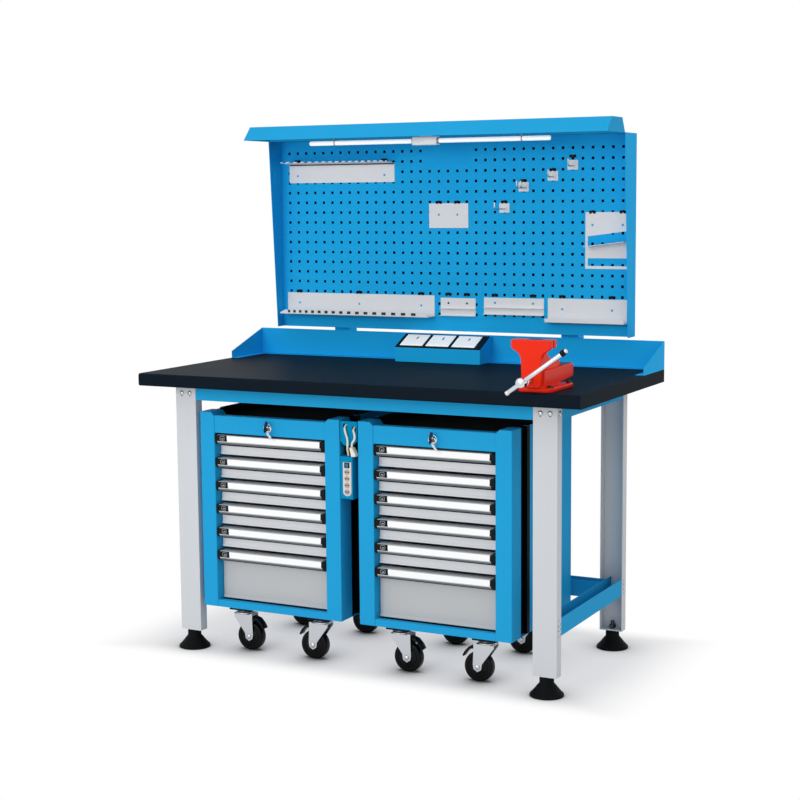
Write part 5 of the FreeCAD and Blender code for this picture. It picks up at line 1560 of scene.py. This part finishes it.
@dataclass
class RollerCabinet:
    """A cabinet on casters with six drawers and a lock."""

    name: str
    left: float
    width: float = 507
    face: float = -310
    rear: float = 168
    low: float = 149
    high: float = 780
    post: float = 52.5
    post_depth: float = 70
    strip: float = 46
    inset: float = 14
    fascia_low: float = 714
    fascia_high: float = 770
    tray: float = 752
    pitch: float = 75
    wall: float = 1.2

    @property
    def body(self) -> str:
        """The body that the shell rides on."""
        return f"{self.name}_cabinet"

    @property
    def right(self) -> float:
        """The right side along X."""
        return self.left + self.width

    @property
    def middle(self) -> float:
        """The middle along X."""
        return self.left + self.width / 2

    @property
    def post_rear(self) -> float:
        """Where the front posts end along Y."""
        return self.face + self.post_depth

    @property
    def strip_rear(self) -> float:
        """Where the recess behind a post ends along Y."""
        return self.post_rear + self.strip

    def across(self, side: int, first: float, second: float) -> Span:
        """Gives a span counted inwards from the left (1) or the right (-1) side."""
        edge = self.left if side > 0 else self.right
        return ordered(edge + side * first, edge + side * second)

    def shell(self) -> None:
        """Makes the welded case: posts, sides, rear, floor, sill, fascia and tray lip."""
        height = (self.low, self.high)
        rear = self.rear - self.wall
        bottom = (self.low, self.low + self.wall)
        corner = 12
        case, posts = Draft(), Draft()
        for side in (1, -1):
            edge = self.left if side > 0 else self.right
            outline = [
                (edge, self.low), (edge + side * self.post, self.low),
                (edge + side * self.post, self.high - corner),
                (edge + side * (self.post - corner), self.high), (edge, self.high),
            ]
            posts.prism(Axis.Y, outline, (self.face, self.post_rear))
            case.box(self.across(side, 0, self.wall), (self.strip_rear, rear), height)
            case.box(self.across(side, 0, self.inset), (self.strip_rear, self.strip_rear + self.wall), height)
            inner_wall = self.across(side, self.post - self.wall, self.post)
            case.box(inner_wall, (self.post_rear, rear), (self.low, self.tray))
        case.box((self.left, self.right), (rear, self.rear), height)
        case.box((self.left, self.right), (self.post_rear, rear), bottom)
        inner = (self.left + self.post, self.right - self.post)
        front = self.face + 2
        case.box(inner, (front, front + 18), (self.low, self.low + 22.5))
        case.box(inner, (front + 18, self.post_rear), bottom)
        lip = [
            (front, self.fascia_low), (front + 1.5, self.fascia_low), (front + 1.5, self.fascia_high - 1.5),
            (front + 28.5, self.fascia_high - 1.5), (front + 28.5, self.tray), (front + 30, self.tray),
            (front + 30, self.fascia_high), (front, self.fascia_high),
        ]
        case.prism(Axis.X, eased(lip, {6: 3, 7: 3}, 3), inner)
        case.piece(f"{self.name}_case", BLUE_COAT, self.body, 0.8, [f"{self.name}_shell"])
        posts.piece(f"{self.name}_posts", BLUE_COAT, self.body, 2.2, segments=3)

    def dark_parts(self) -> None:
        """Makes the dark strips behind the posts, partly a black trim and partly painted shade in the recess,
        the painted shade on the tray's walls, and the tray's ribbed mat.
        """
        height = (self.low + 1, self.high - 1)
        strips = Draft()
        for side in (1, -1):
            # The strip in each recess is a black trim that also paints the recess's shade; the step and edge
            # strips are painted shade only.
            recess = self.across(side, self.inset - 1.5, self.inset)
            strips.box(recess, (self.post_rear + 0.2, self.strip_rear - 0.2), height)
            step = self.across(side, 0.6, self.inset)
            strips.box(step, (self.strip_rear - 1.2, self.strip_rear - 0.1), height)
            edge = self.across(side, -0.25, 0.4)
            strips.box(edge, (self.strip_rear - 0.6, self.strip_rear + 20), height)
        strips.piece(f"{self.name}_recess_strips", DARK_SHEET, self.body)
        mat = Draft()
        mat_top = self.tray + 3
        flat = (self.tray, mat_top)
        mat.box((self.left + self.post, self.right - self.post), (self.face + 32, self.post_rear), flat)
        inner = (self.left + self.inset, self.right - self.inset)
        mat.box(inner, (self.post_rear, self.rear - self.wall), flat)
        mat.piece(f"{self.name}_tray_mat", TRAY_MAT, self.body, 0.5)
        # A black sheet on the tray's walls above the mat that paints the shade under the worktop.
        walls = (mat_top, self.high - 0.6)
        dark_inner_sheet = Draft().box(inner, (self.rear - 2, self.rear - 1.3), walls)
        for side in (1, -1):
            wall = self.across(side, self.inset + 1.3, self.inset + 1.9)
            dark_inner_sheet.box(wall, (self.post_rear, self.rear - 2), walls)
        dark_inner_sheet.piece(f"{self.name}_tray_liner", DARK_SHEET, self.body)
        ribs = 40
        step = (self.rear - 6 - self.post_rear) / ribs
        start = Vector((self.middle, self.post_rear + step / 2 + 2, self.tray + 3.3))
        block = Vector((self.width - 2 * self.inset - 6, step * 0.45, 1.2))
        row(f"{self.name}_mat_ribs", ribs, start, Vector((0, step, 0)), block, TRAY_MAT, self.body)

    def runners(self) -> None:
        """Makes the drawer runners and the plates that carry the casters."""
        rails = Draft()
        for _, upper, _ in self.slots():
            high = upper - 20 - 1.5
            for side in (1, -1):
                x = self.across(side, self.post, self.post + 12)
                rails.box(x, (self.post_rear, self.rear - self.wall), (high - 10, high))
        rails.piece(f"{self.name}_runners", ZINC, self.body, 0.5)
        blocks = Draft()
        for caster in self.casters():
            blocks.box((caster.x - 40, caster.x + 40), (caster.y - 30, caster.y + 30), (131.6, self.low))
        blocks.piece(f"{self.name}_caster_blocks", BLACK_ABS, self.body, 2)

    def slots(self) -> list[tuple[int, float, float]]:
        """Gives each drawer's number and the upper and lower limit of its slot."""
        shallow = 5
        tops = [self.fascia_low - number * self.pitch for number in range(shallow + 1)]
        found = [(number + 1, tops[number], tops[number + 1]) for number in range(shallow)]
        return [*found, (shallow + 1, tops[shallow], self.low + 22.5)]

    def lock(self) -> None:
        """Makes the lock's rosette and barrel with the key, its ring and the spare key."""
        body = f"{self.name}_lock"
        x, z = self.middle, 736.0
        front = self.face + 2
        rosette = [
            (0, front - 4.4), (5.5, front - 4.4), (6, front - 5), (9.6, front - 4.6), (11.5, front - 2.4),
            (12, front - 0.3), (8.4, front - 0.3), (8.4, front + 22), (0, front + 22),
        ]
        metal = Draft().lathe(Axis.Y, (x, z), rosette, 32)
        metal.box((x - 4.5, x + 4.5), (front + 19.5, front + 22), (z - 22, z))
        ring = [
            (x + 6 + 13 * math.sin(turn), front - 17 - 2 * math.cos(turn), z + 5 - 13 * math.cos(turn))
            for turn in (2 * math.pi * step / 28 for step in range(29))
        ]
        metal.tube(ring, 1.1, 8)
        spare = [(x + 2, z - 12), (x + 8, z - 8), (x + 22, z - 26), (x + 20, z - 30), (x + 16, z - 29)]
        metal.prism(Axis.Y, spare, (front - 18, front - 16))
        metal.piece(f"{body}_metal", CHROME, body, 0.2, [body])
        brass = Draft().box((x - 1.2, x + 1.2), (front - 13, front - 4), (z - 4, z + 4))
        brass.lathe(Axis.Y, (x, z), rectangle((0, 5.2), (front - 5.4, front - 4)), 24)
        brass.piece(f"{body}_plug", BRASS, body, 0.2)
        bow = Draft()
        outline = [(front - 27, z - 9), (front - 12, z - 5), (front - 12, z + 7), (front - 27, z + 11)]
        bow.prism(Axis.X, eased(outline, 3), (x - 1.8, x + 1.8))
        spare_bow = eased([(x - 6, z + 10), (x + 3, z + 8), (x + 8, z + 25), (x, z + 28)], 3)
        bow.prism(Axis.Y, spare_bow, (front - 19, front - 15))
        bow.piece(f"{body}_bows", BOW_BLUE, body, 0.6)

    def casters(self) -> list[Caster]:
        """Gives the four casters: the left ones trail to the right and the right ones to the left."""
        found = []
        for end, along in (("front", self.face + 70), ("rear", self.rear - 68)):
            for side_name, side in (("left", -1), ("right", 1)):
                x = self.middle + side * 145
                found.append(Caster(self.name, f"{end}_{side_name}", x, along, -side, end == "front"))
        return found

    def build(self) -> None:
        """Makes the cabinet."""
        self.shell()
        self.dark_parts()
        self.runners()
        self.lock()
        for number, upper, lower in self.slots():
            Drawer(f"{self.name}_drawer_{number}", self.left + self.post, upper, lower, self.face).build()
        for caster in self.casters():
            caster.build()


# Power strip


@dataclass
class PowerStrip:
    """The bracket on the left cabinet's side with its socket strip, cord plate, cord and plug."""

    left: float = -54.5
    front: float = -309
    body: str = "left_cabinet"
    diameter: float = 0.0065
    length: float = 0.2163
    route: tuple[tuple[float, float, float], ...] = (
        (-0.0290, -0.3000, 0.6680),
        (-0.0290, -0.3000, 0.6770),
        (-0.0275, -0.3085, 0.6880),
        (-0.0235, -0.3155, 0.7000),
        (-0.0220, -0.3160, 0.7220),
        (-0.0295, -0.3160, 0.7420),
        (-0.0340, -0.3145, 0.7570),
        (-0.0350, -0.3005, 0.7655),
        (-0.0235, -0.2975, 0.7705),
        (-0.0125, -0.2975, 0.7695),
        (-0.0045, -0.2990, 0.7610),
        (-0.0040, -0.3145, 0.7525),
        (0.0015, -0.3160, 0.7410),
        (0.0025, -0.3160, 0.7280),
        (-0.0020, -0.3145, 0.7190),
        (-0.0075, -0.3135, 0.7135),
        (-0.0095, -0.3130, 0.7080),
        (-0.0095, -0.3130, 0.7010),
    )

    def plug(self) -> bpy.types.Object:
        """Makes the plug at the cord's end."""
        x, y, z = (value / MM for value in self.route[-1])
        outline = [(x - 5, z - 2), (x + 5, z - 2), (x + 16, z - 21), (x + 16, z - 30), (x + 2, z - 30)]
        draft = Draft().prism(Axis.Y, eased(outline, 2.5, 4), (y - 10, y + 10))
        draft.lathe(Axis.Z, (x, y), [(0, z - 3), (4.75, z - 3), (4.2, z), (0, z)], 18)
        return draft.piece("cord_plug", CORD_SHEATH, self.body, 1.4, ["strip_plug"])

    def cord(self) -> None:
        """Lays the cord: up from the strip, behind its plate from one hole to the other, and down."""
        plug = self.plug()
        curve = bpy.data.curves.new("strip_lead", "CURVE")
        curve.dimensions = "3D"
        curve.bevel_depth = self.diameter / 2
        curve.bevel_resolution = 5
        curve.use_fill_caps = True
        line = curve.splines.new("NURBS")
        line.points.add(len(self.route) - 1)
        for point, place in zip(line.points, self.route):
            point.co = (*place, 1.0)
        line.order_u = 3
        line.use_endpoint_u = True
        line.resolution_u = 12
        curve.materials.append(CORD_SHEATH.material())
        lead = settle(linked("strip_lead", curve), self.body, ["strip_cord"])

    def bracket(self) -> None:
        """Makes the pocket that holds the strip and the plate above it."""
        left, right = self.left, self.left + 45.5
        front, rear = self.front, self.front + 52
        low, high = 536.0, 670.0
        bar = (left + 10.6, left + 40.4)
        case = Draft()
        case.box((left, left + 1.5), (front, rear), (low, high))
        case.box((right - 1.5, right), (front, rear), (low, high))
        case.box((left, right), (rear - 1.5, rear), (low, high))
        case.box((left, right), (front, rear), (low, low + 1.5))
        case.plate(
            Axis.Z,
            rectangle((left, right), (front, rear)),
            [circle((-29, -300), 5.8, 20)],
            (high - 1.5, high),
        )
        window = eased(rectangle(bar, (545.7, 651.3)), {0: 14, 1: 14}, 8)
        case.plate(Axis.Y, rectangle((left, right), (low, high)), [window], (front, front + 1.5))
        case.piece("strip_pocket", TEAL_COAT, self.body, 0.4, ["power_strip"])
        # A black sheet behind the gap between the pocket and the cord plate, painting the shade in that gap.
        gap_shade = Draft().box((left + 3, right - 1), (-284, -282.5), (high, 706))
        gap_shade.piece("strip_backing", DARK_SHEET, self.body, 0.3)
        face = -308.0
        width = 60.5
        outline = [
            (left, 718.5), (left + 13, 704), (left + 23, 701), (left + width - 23, 701),
            (left + width - 13, 704), (left + width, 718.5), (left + width, 777), (left, 777),
        ]
        holes = [circle((-35, 762), 8, 20), circle((-4.5, 755), 8, 20)]
        plate = Draft().plate(Axis.Y, eased(outline, {1: 8, 4: 8, 6: 4}, 4), holes, (face, face + 2))
        plate.box((left, left + 2), (face, face + 30), (718.5, 777))
        plate.piece("cord_plate", TEAL_COAT, self.body, 0.4)

    def strip(self) -> None:
        """Makes the socket strip with its switch and four sockets."""
        left, right = self.left + 11, self.left + 40
        middle = (left + right) / 2
        outline = eased(rectangle((left, right), (546, 651)), {0: 13.6, 1: 13.6, 2: 2, 3: 2}, 8)
        bar = Draft().prism(Axis.Y, outline, (self.front - 2, -258.5), True)
        gland = [(0, 651), (5.5, 651), (5.5, 663), (4.2, 668), (0, 668)]
        bar.lathe(Axis.Z, (-29, -300), gland, 20)
        bar.piece("socket_strip", STRIP_ABS, self.body, 1.2)
        front = self.front - 3
        switch = Draft().box((middle - 9, middle + 9), (front, front + 3), (633, 650))
        switch.piece("strip_switch_frame", BLACK_ABS, self.body, 1)
        rocker = Draft().box((middle - 5, middle + 5), (front - 1.2, front + 2), (635.5, 647.5))
        rocker.piece("strip_switch", SWITCH_TEAL, self.body, 1)
        face = self.front - 2
        heights = [559 + step * 20.5 for step in range(4)]
        places = [(Vector((middle, face, height)), Vector((0, -1, 0))) for height in heights]
        rim = [(0, -0.6), (9, -0.6), (9, 0.3), (8.4, 0.5), (8, 0.2), (0, 0.2)]
        disc = Draft().lathe(Axis.Z, (0, 0), rim, 28)
        copies("strip_socket_faces", disc, places, SOCKET_FACE, self.body)
        pins = Draft()
        for across in (-4.6, 4.6):
            pins.lathe(Axis.Z, (across, 0), rectangle((0, 2.5), (-0.4, 0.45)), 14)
        copies("strip_socket_pins", pins, places, SOCKET_DARK, self.body)
        shutter = Draft().lathe(Axis.Z, (0, 0), rectangle((0, 2.4), (-0.4, 0.4)), 14)
        copies("strip_socket_shutters", shutter, places, SOCKET_RED, self.body)

    def build(self) -> None:
        """Makes the power strip."""
        self.cord()
        self.bracket()
        self.strip()


# Studio


@dataclass
class Studio:
    """Camera, floor, world and lamps."""

    position: tuple[float, float, float] = (2.3387, -4.5832, 1.4550)
    yaw: float = math.radians(27.0754)
    pitch: float = math.radians(7.1685)
    roll: float = math.radians(-0.4908)
    focal_pixels: float = 1623.13
    frame_pixels: float = 800
    sensor: float = 36
    ambient: float = 0.78
    floor_lift: float = 0.7

    def camera(self) -> None:
        """Sets the camera where the photograph was taken from."""
        data = bpy.data.cameras.new("view")
        data.sensor_width = self.sensor
        data.lens = self.focal_pixels / self.frame_pixels * self.sensor
        data.clip_start, data.clip_end = 0.05, 120
        camera = linked("view", data)
        level = math.cos(self.pitch)
        ahead = Vector((-math.sin(self.yaw) * level, math.cos(self.yaw) * level, -math.sin(self.pitch)))
        right = ahead.cross(Vector((0, 0, 1))).normalized()
        above = right.cross(ahead)
        tilted_right = right * math.cos(self.roll) + above * math.sin(self.roll)
        tilted_above = above * math.cos(self.roll) - right * math.sin(self.roll)
        matrix = camera.matrix_world.copy()
        for column, vector in enumerate((tilted_right, tilted_above, -ahead, Vector(self.position))):
            for line in range(3):
                matrix[line][column] = vector[line]
        camera.matrix_world = matrix
        bpy.context.scene.camera = camera

    def seen(self, tree: bpy.types.NodeTree) -> bpy.types.NodeSocket:
        """Gives 1 for rays that show the background: from the camera, a mirror or glass."""
        path = add(tree, "ShaderNodeLightPath").outputs
        direct = maths(tree, "MAXIMUM", path["Is Camera Ray"], path["Is Glossy Ray"])
        return maths(tree, "MAXIMUM", direct, path["Is Transmission Ray"])

    def world(self) -> None:
        """Makes the plain white surroundings."""
        world = bpy.data.worlds.new("studio")
        tree = bare_tree(world)
        strength = add(
            tree, "ShaderNodeMapRange", {"To Min": self.ambient, "To Max": 1.0}, {"Value": self.seen(tree)}
        )
        white = add(tree, "ShaderNodeBackground", {"Color": (1, 1, 1, 1)}, {"Strength": strength.outputs[0]})
        add(tree, "ShaderNodeOutputWorld", None, {"Surface": white.outputs[0]})
        bpy.context.scene.world = world

    def floor(self) -> None:
        """Lays the pale floor, which fades to white away from the bench. The pale grey over the bench's
        footprint is painted shade, and its glow is darkened near the wheels and feet by ambient occlusion as a
        painted contact shadow.
        """
        mesh = bpy.data.meshes.new("floor")
        shape = bmesh.new()
        bmesh.ops.create_circle(shape, cap_ends=True, radius=40, segments=64)
        shape.to_mesh(mesh)
        shape.free()
        floor = linked("floor", mesh)
        made = bpy.data.materials.new("studio_floor")
        tree = bare_tree(made)
        place = add(tree, "ShaderNodeTexCoord").outputs["Object"]
        # The pale grey over the bench's footprint, fading to white outside it, is painted shade under the
        # bench.
        footprint = {"Location": (0.02, -0.1, 0), "Scale": (1.35, 2.75, 1)}
        scaled = add(tree, "ShaderNodeMapping", footprint, {"Vector": place})
        sides = add(tree, "ShaderNodeVectorMath", {"operation": "ABSOLUTE"}, {0: scaled.outputs[0]})
        parts = add(tree, "ShaderNodeSeparateXYZ", None, {0: sides.outputs[0]})
        reach = maths(tree, "SMOOTH_MAX", parts.outputs[0], parts.outputs[1], 0.12)
        away = add(
            tree,
            "ShaderNodeMapRange",
            {"interpolation_type": "SMOOTHSTEP", "From Min": 0.92, "From Max": 1.3},
            {"Value": reach},
        )
        seen = self.seen(tree)
        fade = maths(tree, "MULTIPLY", away.outputs[0], seen)
        lift = maths(tree, "MULTIPLY", seen, self.floor_lift)
        matt = add(tree, "ShaderNodeBsdfDiffuse", {"Color": linear("#F3F1EE")})
        # Ambient occlusion darkens the pale glow near the wheels and feet: a painted contact shadow.
        contact = add(tree, "ShaderNodeAmbientOcclusion", {"samples": 8, "Distance": 0.13})
        range_of_shade = {"From Min": 0.5, "From Max": 0.97}
        soft = add(tree, "ShaderNodeMapRange", range_of_shade, {"Value": contact.outputs["AO"]})
        pale = add(tree, "ShaderNodeEmission", {"Color": linear("#E9E9EB")}, {"Strength": soft.outputs[0]})
        white = add(tree, "ShaderNodeEmission", {"Color": (1, 1, 1, 1), "Strength": 1.0})
        near = add(tree, "ShaderNodeMixShader", None, {0: lift, 1: matt.outputs[0], 2: pale.outputs[0]})
        mixed = add(tree, "ShaderNodeMixShader", None, {0: fade, 1: near.outputs[0], 2: white.outputs[0]})
        add(tree, "ShaderNodeOutputMaterial", None, {"Surface": mixed.outputs[0]})
        mesh.materials.append(made)

    def lamps(self) -> None:
        """Hangs a broad soft lamp in front, to the left, and a weak one above."""
        for name, place, target, size, power in (
            ("key", (-1.4, -6.6, 2.4), (0, 0, 0.8), 3.6, 135),
            ("top", (0.6, -1.0, 5.5), (0, 0, 0.8), 4.0, 30),
        ):
            data = bpy.data.lights.new(name, "AREA")
            data.shape = "DISK"
            data.size = size
            data.energy = power
            lamp = linked(name, data)
            lamp.location = place
            lamp.rotation_euler = (Vector(target) - Vector(place)).to_track_quat("-Z", "Y").to_euler()

    def build(self) -> None:
        """Sets up the studio."""
        self.camera()
        self.world()
        self.floor()
        self.lamps()
        bpy.context.scene.view_settings.view_transform = "Standard"


def main() -> None:
    """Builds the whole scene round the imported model."""
    logging.basicConfig(level=logging.INFO, format="%(message)s")
    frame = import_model()
    Studio().build()
    PowerStrip().build()
    Bench(frame).build()
    BackPanel().build()
    StripLamp().build()
    SocketBox().build()
    Vise().build()
    RollerCabinet("left", -561.5).build()
    RollerCabinet("right", 9.0).build()


if __name__ == "__main__":
    main()
